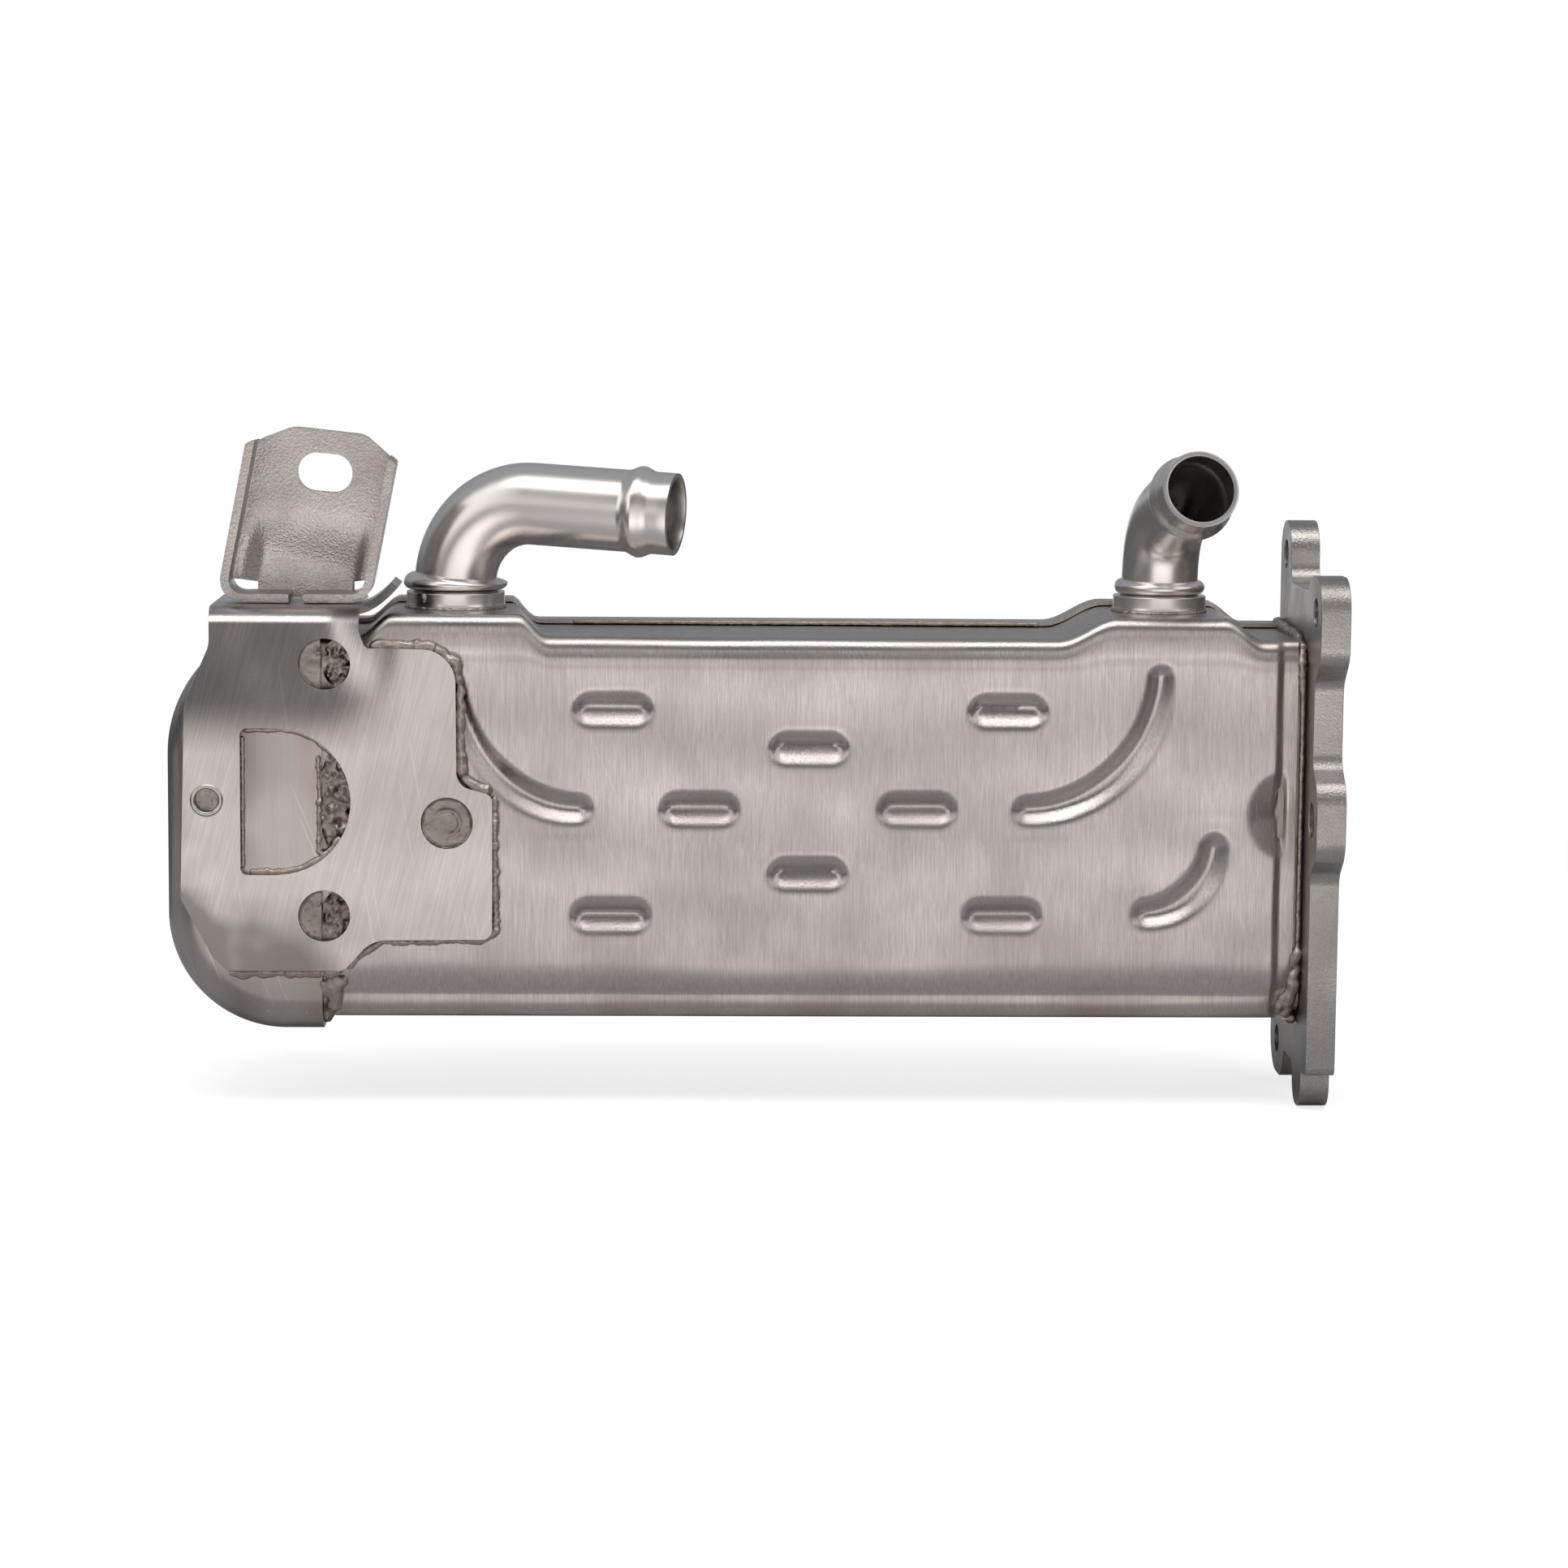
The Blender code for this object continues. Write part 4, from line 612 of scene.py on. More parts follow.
@dataclass(frozen=True)
class Steel:
    """One steel finish. Lengths in millimetres, angles in degrees."""

    name: str
    colour: Colour
    shade: Colour
    roughness: float = 0.32
    spread: float = 0.12
    turn: Corner = (0.0, 0.0, 0.0)
    stretch: Corner = (1.0, 1.0, 0.03)
    line_width: float = 0.35
    line_depth: float = 0.006
    line_tone: float = 0.35
    streak_share: float = 0.28
    streak_tone: float = 0.3
    pit_size: float = 0.5
    pit_depth: float = 0.0
    # Share of painted glints: near-white specks in the colour, a painted highlight.
    glint: float = 0.0
    glint_colour: Colour = (0.9, 0.88, 0.86)
    patch_size: float = 22.0
    patch_tone: float = 0.4
    scratch_size: float = 0.6
    scratch_turn: float = 0.4
    scratch_tone: float = 0.35
    scratch_colour: Colour = (0.85, 0.83, 0.81)
    lean: float = 0.0
    stains: tuple[StainOrShade, ...] = ()

    def build(self, effects: Effects) -> bpy.types.Material:
        """Make the material.

        Args:
            effects: The shared node groups.

        Returns:
            The finished material.
        """
        material = bpy.data.materials.new(self.name)
        material.use_nodes = True
        wires = Wires(material.node_tree)
        shader = material.node_tree.nodes["Principled BSDF"].inputs
        shader["Metallic"].default_value = 1.0
        place = wires.add("TexCoord").outputs["Object"]
        turn = tuple(math.radians(angle) for angle in self.turn)
        lines = {"Vector": place, "Turn": turn, "Stretch": self.stretch}
        slant = (turn[0], turn[1] + self.scratch_turn, turn[2])

        grain = wires.group(effects.grain, **lines, Scale=1.0 / (self.line_width * MM))["Lines"]
        streaks = wires.group(effects.grain, **lines,
                              Scale=self.streak_share / (self.line_width * MM))["Lines"]
        patches = wires.group(effects.mottle, Vector=place,
                              Scale=1.0 / (self.patch_size * MM))["Patches"]
        marks = wires.group(effects.scratches, Vector=place, Turn=slant,
                            Scale=1.0 / (self.scratch_size * MM))["Marks"]
        pits = wires.group(effects.pits, Vector=place, Scale=1.0 / (self.pit_size * MM))

        layers = [
            (grain, self.line_tone, self.shade), (streaks, self.streak_tone, self.shade),
            (patches, self.patch_tone, self.shade), (marks, self.scratch_tone, self.scratch_colour),
        ]
        # Real heat and braze stains, and bands of painted shade, mixed into the colour.
        for stain_or_shade in self.stains:
            mask = wires.group(effects.band, Vector=place, Axis=stain_or_shade.axis, Centre=stain_or_shade.centre * MM,
                               Width=stain_or_shade.width * MM, Patches=patches)["Mask"]
            layers.append((mask, stain_or_shade.strength * 2.0, stain_or_shade.tint))
        # Painted glints: near-white specks mixed into the colour stand in for sparkling highlights.
        if self.glint > 0.0:
            layers.append((pits["Glints"], self.glint, self.glint_colour))
        colour: object = (*self.colour, 1.0)
        for mask, tone, tint in layers:
            colour = wires.mix(wires.math("MULTIPLY", mask, tone, clamp=True), colour, (*tint, 1.0))
        wires.feed(shader["Base Color"], colour)

        half = self.spread / 2.0
        rough = wires.add("MapRange", {"Value": patches, "To Min": self.roughness - half,
                                       "To Max": self.roughness + half})
        wires.feed(shader["Roughness"], rough.outputs[0])

        normal = wires.bump(grain, self.line_depth * MM)
        if self.pit_depth > 0.0:
            normal = wires.bump(pits["Height"], self.pit_depth * MM, normal)
        if self.lean > 0.0:
            normal = wires.bump(self._spring_back(wires, place), -1.0, normal)
        wires.feed(shader["Normal"], normal)
        return material

    def _spring_back(self, wires: Wires, place: Socket) -> Socket:
        """Height of the slight bow that a folded leg keeps below its fold, in metres."""
        low, high, left, right = 18.0 * MM, 31.0 * MM, -240.0 * MM, -220.0 * MM
        parts = wires.add("SeparateXYZ", {0: place}).outputs
        curve = wires.math("POWER", wires.span(parts["Z"], low, high), 2.0)
        above = wires.math("MAXIMUM", wires.math("SUBTRACT", parts["Z"], high), 0.0)
        bow = wires.math("ADD", curve, wires.math("MULTIPLY", above, 2.0 / (high - low)))
        part = wires.math("MULTIPLY", bow, wires.step(parts["X"], right, left))
        reach = math.tan(math.radians(self.lean)) * (high - low) / 2.0
        return wires.math("MULTIPLY", part, reach)


class Finishes:
    """Every steel of the cooler, built once."""

    def __init__(self) -> None:
        """Build the shared effects and the materials."""
        effects = Effects()
        along_x, along_z, even = (1.0, 0.0, 0.0), (0.0, 0.0, 1.0), (1.0, 1.0, 1.0)
        self.jacket = Steel(
            "brushed jacket steel", (0.66, 0.625, 0.605), (0.30, 0.275, 0.26), roughness=0.27,
            line_width=0.34, line_tone=0.7, line_depth=0.021, streak_tone=0.12, patch_tone=0.3,
            scratch_tone=0.08, stains=(
                StainOrShade(along_x, -9.0, 4.0, 0.25, (0.42, 0.36, 0.31)),
                StainOrShade(along_x, -241.0, 8.0, 0.4), StainOrShade(along_z, -46.0, 6.0, 0.35),
            ),
        ).build(effects)
        self.tank = Steel(
            "drawn tank steel", (0.50, 0.47, 0.45), (0.32, 0.29, 0.27), roughness=0.26,
            patch_tone=0.5, line_tone=0.25, stains=(
                StainOrShade(along_x, -241.0, 7.0, 0.4),
                # Painted shadow: a dark grey band on the tank inside the big window, along its left
                # edge.
                StainOrShade(along_x, -260.5, 7.0, 0.6, (0.21, 0.19, 0.175)),
            ),
        ).build(effects)
        self.plate = Steel(
            "brushed plate steel", (0.66, 0.625, 0.605), (0.32, 0.295, 0.28), roughness=0.25,
            turn=(0.0, -14.0, 0.0), line_width=0.4, line_depth=0.018, line_tone=0.5, lean=21.0,
            streak_tone=0.12, patch_tone=0.35, scratch_tone=0.15, stains=(
                StainOrShade(along_z, -34.0, 5.0, 0.4),
                # Painted shade: a broad grey darkening towards the plate's lower left corner.
                StainOrShade((-0.7, 0.0, -0.71), 213.0, 27.0, 2.0, (0.25, 0.235, 0.225)),
            ),
        ).build(effects)
        self.tab = Steel(
            "blasted tab steel", (0.56, 0.53, 0.51), (0.32, 0.295, 0.28), roughness=0.3,
            line_depth=0.003, line_tone=0.25, pit_size=0.6, pit_depth=0.13, glint=0.4,
            patch_size=12.0, stretch=even, scratch_tone=0.15,
        ).build(effects)
        self.pipe = Steel(
            "satin pipe steel", (0.85, 0.815, 0.79), (0.66, 0.63, 0.605), roughness=0.26, spread=0.08,
            line_width=0.3, line_depth=0.003, stretch=(0.3, 1.0, 1.0), line_tone=0.25,
            patch_tone=0.25, streak_tone=0.1, scratch_tone=0.1,
        ).build(effects)
        self.flange = Steel(
            "blasted flange steel", (0.50, 0.475, 0.455), (0.27, 0.25, 0.238), roughness=0.34,
            line_depth=0.002, line_tone=0.5, line_width=0.4, pit_size=0.5, pit_depth=0.09, glint=0.3,
            patch_size=14.0, stretch=even, scratch_tone=0.1,
        ).build(effects)
        self.braze = Steel(
            "nickel braze", (0.58, 0.53, 0.49), (0.30, 0.25, 0.215), roughness=0.34, spread=0.2,
            stretch=even, line_width=0.8, line_depth=0.05, line_tone=0.7,
            patch_size=3.0, patch_tone=0.5, pit_size=0.4, pit_depth=0.03, scratch_tone=0.0,
        ).build(effects)
        self.filler = Steel(
            "window braze", (0.32, 0.285, 0.26), (0.20, 0.17, 0.15), roughness=0.30, spread=0.1,
            stretch=even, line_width=0.9, line_depth=0.01, line_tone=0.4,
            patch_size=5.0, patch_tone=0.5, scratch_tone=0.0,
        ).build(effects)
        # Dark scorched braze; also the dark sheet of painted shadow behind the small hole.
        self.scorched = Steel(
            "scorched braze", (0.42, 0.37, 0.33), (0.19, 0.16, 0.14), roughness=0.34, spread=0.2,
            stretch=even, line_width=0.8, line_depth=0.03, line_tone=0.7,
            patch_size=2.5, patch_tone=0.6, scratch_tone=0.0,
        ).build(effects)
        self.inner = Steel(
            "heat tinted inner steel", (0.46, 0.42, 0.38), (0.28, 0.22, 0.17), roughness=0.42,
            patch_size=9.0, patch_tone=0.7,
        ).build(effects)


def place(piece: Item, name: str, material: bpy.types.Material, slot: str, *nodes: str) -> Item:
    """Finish a piece: its name, material, body and the nodes that it stands for.

    Args:
        piece: The finished mesh.
        name: Its name.
        material: Its material.
        slot: The record's material slot; not used.
        nodes: CAD nodes that it replaces.

    Returns:
        The same piece.
    """
    piece.name = piece.data.name = name
    piece.data.materials.clear()
    piece.data.materials.append(material)
    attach(piece, "root")
    if nodes:
        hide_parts(*nodes)
    LOG.info("%s: %d faces", name, len(piece.data.polygons))
    return piece


@dataclass(frozen=True)
class Pad:
    """A raised pad on the jacket's top. Lengths in millimetres."""

    x: float
    left: float
    right: float
    ramp_left: float
    ramp_right: float
    skew: float
    hole: float

    def rise(self, x: np.ndarray, y: np.ndarray, depth: float) -> np.ndarray:
        """Share of the pad's full height.

        Args:
            x: Places along the jacket.
            y: Places across the jacket.
            depth: Half of the jacket's depth.

        Returns:
            The share at each place.
        """
        lean = -self.skew * (y + depth) / (2.0 * depth)
        shifted = x - lean * np.clip((x - self.x) / self.right, 0.0, 1.0)
        left = 1.0 + (shifted - (self.x - self.left)) / self.ramp_left
        right = 1.0 - (shifted - (self.x + self.right)) / self.ramp_right
        return ease(np.minimum(left, right))


@dataclass(frozen=True)
class Dimple:
    """A stadium shaped pressing whose floor is smaller than its mouth. Lengths in millimetres."""

    x: float
    z: float
    depth: float = 2.75
    mouth: float = 4.75
    mouth_half: float = 5.0
    floor: float = 1.5
    floor_half: float = 6.1
    floor_drop: float = 0.7
    trough: float = 0.1
    wall_power: float = 1.4
    climb: Pair = (-2.2, 0.9)
    climb_share: float = 0.5
    apron: float = 0.08
    apron_start: float = 4.0
    apron_width: float = 4.2

    def press(self, x: np.ndarray, z: np.ndarray) -> tuple[np.ndarray, np.ndarray]:
        """Depth of the pressing and of the sheet drawn in round it.

        Args:
            x: Places along the face.
            z: Places up the face.

        Returns:
            Both depths at each place.
        """
        reach, up = np.abs(x - self.x), z - self.z
        from_mouth = np.hypot(np.maximum(reach - self.mouth_half, 0.0), up)
        from_floor = np.hypot(np.maximum(reach - self.floor_half, 0.0), up + self.floor_drop)
        inside = np.maximum(self.mouth - from_mouth, 0.0)
        share = inside / (inside + np.maximum(from_floor - self.floor, 0.0) + 1e-9)
        trough = self.trough * np.clip(1.0 - (from_floor / self.floor) ** 2, 0.0, 1.0)
        climb = np.interp(up, self.climb, (self.climb_share, 1.0))
        apron = np.maximum(from_mouth - self.apron_start, 0.0) / self.apron_width
        pressed = (self.depth - self.trough) * climb * share ** self.wall_power + trough
        return pressed, self.apron * np.exp(-apron ** 2)


@dataclass(frozen=True)
class Rib:
    """A guide rib along an arc of an ellipse. Lengths in millimetres, angles in degrees."""

    x: float
    z: float
    half_x: float
    half_z: float
    first: float
    last: float
    fade: float
    depth: float = 2.75
    mouth: float = 4.6
    floor: float = 1.15
    trough: float = 0.4
    wall_power: float = 1.2
    belly: float = 0.16
    apron: float = 0.14
    apron_start: float = 3.6
    apron_width: float = 4.0
    reach: float = 7.0
    steps: int = 120

    def press(self, x: np.ndarray, z: np.ndarray) -> tuple[np.ndarray, np.ndarray]:
        """Depth of the rib and of the sheet drawn in round it.

        Args:
            x: Places along the face.
            z: Places up the face.

        Returns:
            Both depths at each place.
        """
        angles = np.radians(np.linspace(self.first, self.last, self.steps))
        path_x = self.x + self.half_x * np.cos(angles)
        path_z = self.z + self.half_z * np.sin(angles)
        box = (x > path_x.min() - self.reach) & (x < path_x.max() + self.reach)
        box &= (z > path_z.min() - self.reach) & (z < path_z.max() + self.reach)
        places = np.nonzero(box)[0]
        gap = np.hypot(x[places, None] - path_x[None, :], z[places, None] - path_z[None, :])
        nearest = gap.argmin(axis=1)
        off = gap[np.arange(len(places)), nearest]
        share = nearest / (self.steps - 1.0)
        width = 1.0 - self.belly + self.belly * np.sin(np.pi * share)
        width *= 1.0 - self.fade * (1.0 - share) ** 2
        mouth, floor = self.mouth * width, self.floor * width
        wall = np.clip((mouth - off) / (mouth - floor), 0.0, 1.0) ** self.wall_power
        trough = self.trough * np.clip(1.0 - (off / floor) ** 2, 0.0, 1.0)
        apron = np.maximum(off - self.apron_start, 0.0) / self.apron_width
        pressed, drawn = np.zeros_like(x), np.zeros_like(x)
        pressed[places] = width * ((self.depth - self.trough) * wall + trough)
        drawn[places] = self.apron * np.exp(-apron ** 2)
        return pressed, drawn


@dataclass
class JacketHalf:
    """One pressed half of the coolant jacket. Lengths in millimetres."""

    name: str
    side: Side
    rim: float
    half_height: float
    columns: int
    rows: tuple[int, int, int, int, int]
    left: float = -246.0
    right: float = -9.2
    depth: float = 24.0
    bend: float = 3.6
    wall: float = 1.0
    column_shares: tuple[float, ...] = (0.0, 0.03, 0.93, 1.0)
    end_strips: Pair = (11.0, 9.0)
    border_drop: float = 1.0
    right_border: float = 3.3
    left_border: float = 7.5
    slope: float = 2.0
    pad_height: float = 5.2
    deepest: float = 2.95
    pads: tuple[Pad, ...] = (
        Pad(-209.9, 14.1, 15.9, 8.0, 7.0, 4.0, 11.1),
        Pad(-40.0, 12.5, 13.5, 14.0, 9.0, 0.0, 10.5),
    )
    dimples: tuple[Dimple, ...] = (
        Dimple(-171.9, 28.4), Dimple(-78.2, 28.5), Dimple(-125.4, 19.4), Dimple(-151.3, 4.7),
        Dimple(-99.6, 4.9), Dimple(-125.5, -10.7), Dimple(-172.3, -21.0), Dimple(-79.0, -20.7),
    )
    ribs: tuple[Rib, ...] = (
        Rib(-180.0, 36.0, 27.8, 31.3, 182.0, 270.0, 0.7),
        Rib(-73.5, 38.0, 31.6, 33.2, 358.0, 270.0, 0.12),
        Rib(-45.5, -2.5, 17.0, 17.6, 355.0, 273.0, 0.0),
    )
    notch_z: float = 4.0
    notch_depth: float = 3.0
    notch_half: Pair = (8.5, 10.5)
    low_fold: float = -31.0
    fold_way: Pair = (0.843, -0.541)
    fold_slope: float = 0.115
    fold_round: float = 0.6
    band_height: float = 0.26
    band_pitch: float = 4.1
    band_drift: float = 0.8
    ripple_height: float = 0.12
    shoulder: float = 6.1
    shoulder_climb: float = 0.35
    shoulder_depth: float = 0.5
    low_line: float = 6.0
    rolled_edge: float = 8.5

    def build(self, steel: bpy.types.Material) -> Item:
        """Press the half from one grid, give it its wall and dress it.

        Args:
            steel: Its material.

        Returns:
            The finished half.
        """
        Bench.clear()
        bpy.ops.mesh.primitive_grid_add(x_subdivisions=self.columns, y_subdivisions=sum(self.rows),
                                        size=2.0)
        item = bpy.context.object
        flat = Bench.read(item)
        along = (flat[:, 0] + 1.0) / 2.0
        across = (1.0 - flat[:, 1]) / 2.0
        Bench.write(item, self.surface(along, across) * MM)
        self.cut_holes(item)
        self.turn_out(item)
        Bench.apply(item, "SOLIDIFY", thickness=self.wall * MM, offset=-1.0, use_even_offset=False)
        Bench.smooth(item, 50.0)
        return place(item, self.name + "_pressed", steel, "jacket_steel", self.name)

    def surface(self, along: np.ndarray, across: np.ndarray) -> np.ndarray:
        """Places of the half's outer face.

        Five zones follow each other from rim to rim: top, upper bend, face, lower bend, bottom.

        Args:
            along: Shares from the left end to the right end.
            across: Shares from the top rim round the face to the bottom rim.

        Returns:
            Places in millimetres.
        """
        sign = self.side.value
        x = np.interp(along, self.column_shares, [self.left, self.left + self.end_strips[0],
                                                  self.right - self.end_strips[1], self.right])
        ends = np.concatenate([[0], np.cumsum(self.rows)]) / sum(self.rows)
        q = np.interp(across, ends, np.arange(6))
        zones = [q < 1.0, q < 2.0, q <= 3.0, q <= 4.0]
        upper = np.radians(90.0 * (2.0 - np.clip(q, 1.0, 2.0)))
        lower = np.radians(-90.0 * (np.clip(q, 3.0, 4.0) - 3.0))
        inner = self.depth - self.bend
        y = np.select(zones, [
            self.rim + (sign * inner - self.rim) * q, sign * (inner + self.bend * np.cos(upper)),
            np.full_like(q, sign * self.depth), sign * (inner + self.bend * np.cos(lower)),
        ], sign * inner + (self.rim - sign * inner) * (q - 4.0))
        rise = np.zeros_like(x)
        for pad in self.pads:
            rise = np.maximum(rise, self.pad_height * pad.rise(x, y, self.depth))
        top = self.half_height + rise
        face_top = top - self.bend
        face_low = -self.half_height + self.bend
        z = np.select(zones, [
            top, face_top + self.bend * np.sin(upper), face_top + (face_low - face_top) * (q - 2.0),
            face_low + self.bend * np.sin(lower),
        ], -self.half_height)
        on_face = np.clip((np.abs(y) - inner) / self.bend, 0.0, 1.0)
        inward = (self.border(x) + self.pressing(x, z) + self.waves(x, z, rise)) * on_face
        return np.stack([x, y - sign * np.minimum(inward, self.deepest), z], axis=1)

    def border(self, x: np.ndarray) -> np.ndarray:
        """Depth of the lower border at both ends."""
        if self.side is Side.BACK:
            return np.zeros_like(x)
        from_right = (self.right - self.right_border - x) / self.slope
        from_left = (x - self.left - self.left_border) / self.slope
        return self.border_drop * ease(1.0 - np.clip(np.minimum(from_left, from_right), 0.0, 1.0))

    def pressing(self, x: np.ndarray, z: np.ndarray) -> np.ndarray:
        """Depth of the dimples, guide ribs, bolt recess and folded corner at places on the face."""
        is_front = self.side is Side.FRONT
        depth, draw = np.zeros_like(x), np.zeros_like(x)
        for form in (*self.dimples, *self.ribs) if is_front else self.dimples:
            pressed, drawn = form.press(x, z)
            depth = np.maximum(depth, pressed)
            draw = np.maximum(draw, drawn)
        if not is_front:
            return depth + draw
        slope_end = self.right - self.right_border
        half_x, half_z = self.notch_half
        reach = np.where(x < slope_end, (x - slope_end) / half_x, 0.0)
        recess = np.hypot(reach, (z - self.notch_z) / half_z)
        bowl = self.notch_depth * np.clip(1.0 - recess, 0.0, 1.0) * ease(slope_end + 1.0 - x, 0.8)
        past = self.fold_way[0] * (x - self.right) + self.fold_way[1] * (z - self.low_fold)
        corner = self.fold_slope * (past + np.hypot(past, self.fold_round))
        return np.maximum(depth, bowl) + draw + corner

    def waves(self, x: np.ndarray, z: np.ndarray, rise: np.ndarray) -> np.ndarray:
        """Waviness of the sheet, its shoulder below the top bend and its rolled lower edge."""
        drift = self.band_drift * np.sin(x / 27.0)
        bands = np.sin(z / self.band_pitch + 0.6 + drift) * (0.65 + 0.35 * np.cos(x / 21.0))
        ripples = np.sin(x / 8.5 + z / 11.0) * np.cos(z / 15.0 + x / 50.0)
        wave = self.band_height * (1.0 + bands) + self.ripple_height * ripples
        face_top = self.half_height - self.bend + rise
        crease = self.half_height - self.shoulder + self.shoulder_climb * rise
        shoulder = np.clip((z - crease) / np.maximum(face_top - crease, 1.0), 0.0, 1.0)
        wave += self.shoulder_depth * shoulder * shoulder
        lower = -self.half_height + self.low_line
        for centre, depth, width in ((crease, 0.13, 0.6), (lower, 0.2, 1.0)):
            wave += depth * np.exp(-(((z - centre) / width) ** 2))
        rolled = np.clip((self.low_fold - z) / self.rolled_edge, 0.0, 1.0)
        return wave + rolled * rolled

    def cut_holes(self, item: Item) -> None:
        """Open the pads under the collars and pull the open edge onto a circle."""
        if self.side is Side.BACK:
            return
        for pad in self.pads:
            centre = Vector((pad.x, 0.0)) * MM
            top = (self.half_height - 1.0) * MM
            Bench.pick(item, "FACE", lambda face: face.calc_center_median().z > top
                       and (face.calc_center_median().xy - centre).length < pad.hole * MM)
            bpy.ops.mesh.delete(type="FACE")
            mesh = bmesh.from_edit_mesh(item.data)
            for vertex in mesh.verts:
                arm = vertex.co.xy - centre
                if vertex.is_boundary and vertex.co.z > top and arm.length < (pad.hole + 2.5) * MM:
                    vertex.co.xy = centre + arm.normalized() * pad.hole * MM
            bmesh.update_edit_mesh(item.data)
            Bench.clear()

    def turn_out(self, item: Item) -> None:
        """Point the open sheet's faces out of the jacket."""
        sign = self.side.value
        spot = Vector((-0.125, sign * self.depth * MM, 0.01))
        middle = min(item.data.polygons, key=lambda face: (face.center - spot).length)
        if middle.normal.y * sign < 0.0:
            Bench.pick_all(item)
            bpy.ops.mesh.flip_normals()
            Bench.clear()


@dataclass
class ReturnTank:
    """Deep drawn end tank. Lengths in millimetres."""

    left: float = -277.4
    mouth: float = -240.5
    half: float = 48.9
    front: float = -25.1
    back: float = 26.1
    low_corner: float = 28.0
    high_corner: float = 32.0
    edge: float = 8.0
    wall: float = 1.8

    def build(self, steel: bpy.types.Material) -> Item:
        """Draw the tank: extrude its outline, roll its edges, open its mouth, give it a wall."""
        corners = [
            (self.left, -self.half, self.low_corner), (self.left, self.half, self.high_corner),
            (self.mouth, self.half, 0.0), (self.mouth, -self.half, 0.0),
        ]
        item = Bench.prism("tank", corners, Plane.XZ, self.front, self.back, 3.0)
        mouth = (self.mouth - 0.01) * MM

        def on_rim(edge: bmesh.types.BMEdge) -> bool:
            """Whether an edge runs round the front or back face, away from the mouth."""
            flat = abs(edge.verts[0].co.y - edge.verts[1].co.y) < 0.01 * MM
            return flat and min(vertex.co.x for vertex in edge.verts) < mouth

        Bench.pick(item, "EDGE", on_rim)
        bpy.ops.mesh.bevel(offset=self.edge * MM, segments=10, profile=0.5, affect="EDGES",
                           clamp_overlap=False)
        Bench.pick(item, "FACE", lambda face: face.calc_center_median().x > mouth)
        bpy.ops.mesh.delete(type="FACE")
        Bench.clear()
        Bench.apply(item, "SOLIDIFY", thickness=self.wall * MM, offset=-1.0, use_even_offset=True)
        Bench.smooth(item, 40.0)
        return place(item, "tank_drawn", steel, "jacket_steel", "return_tank")


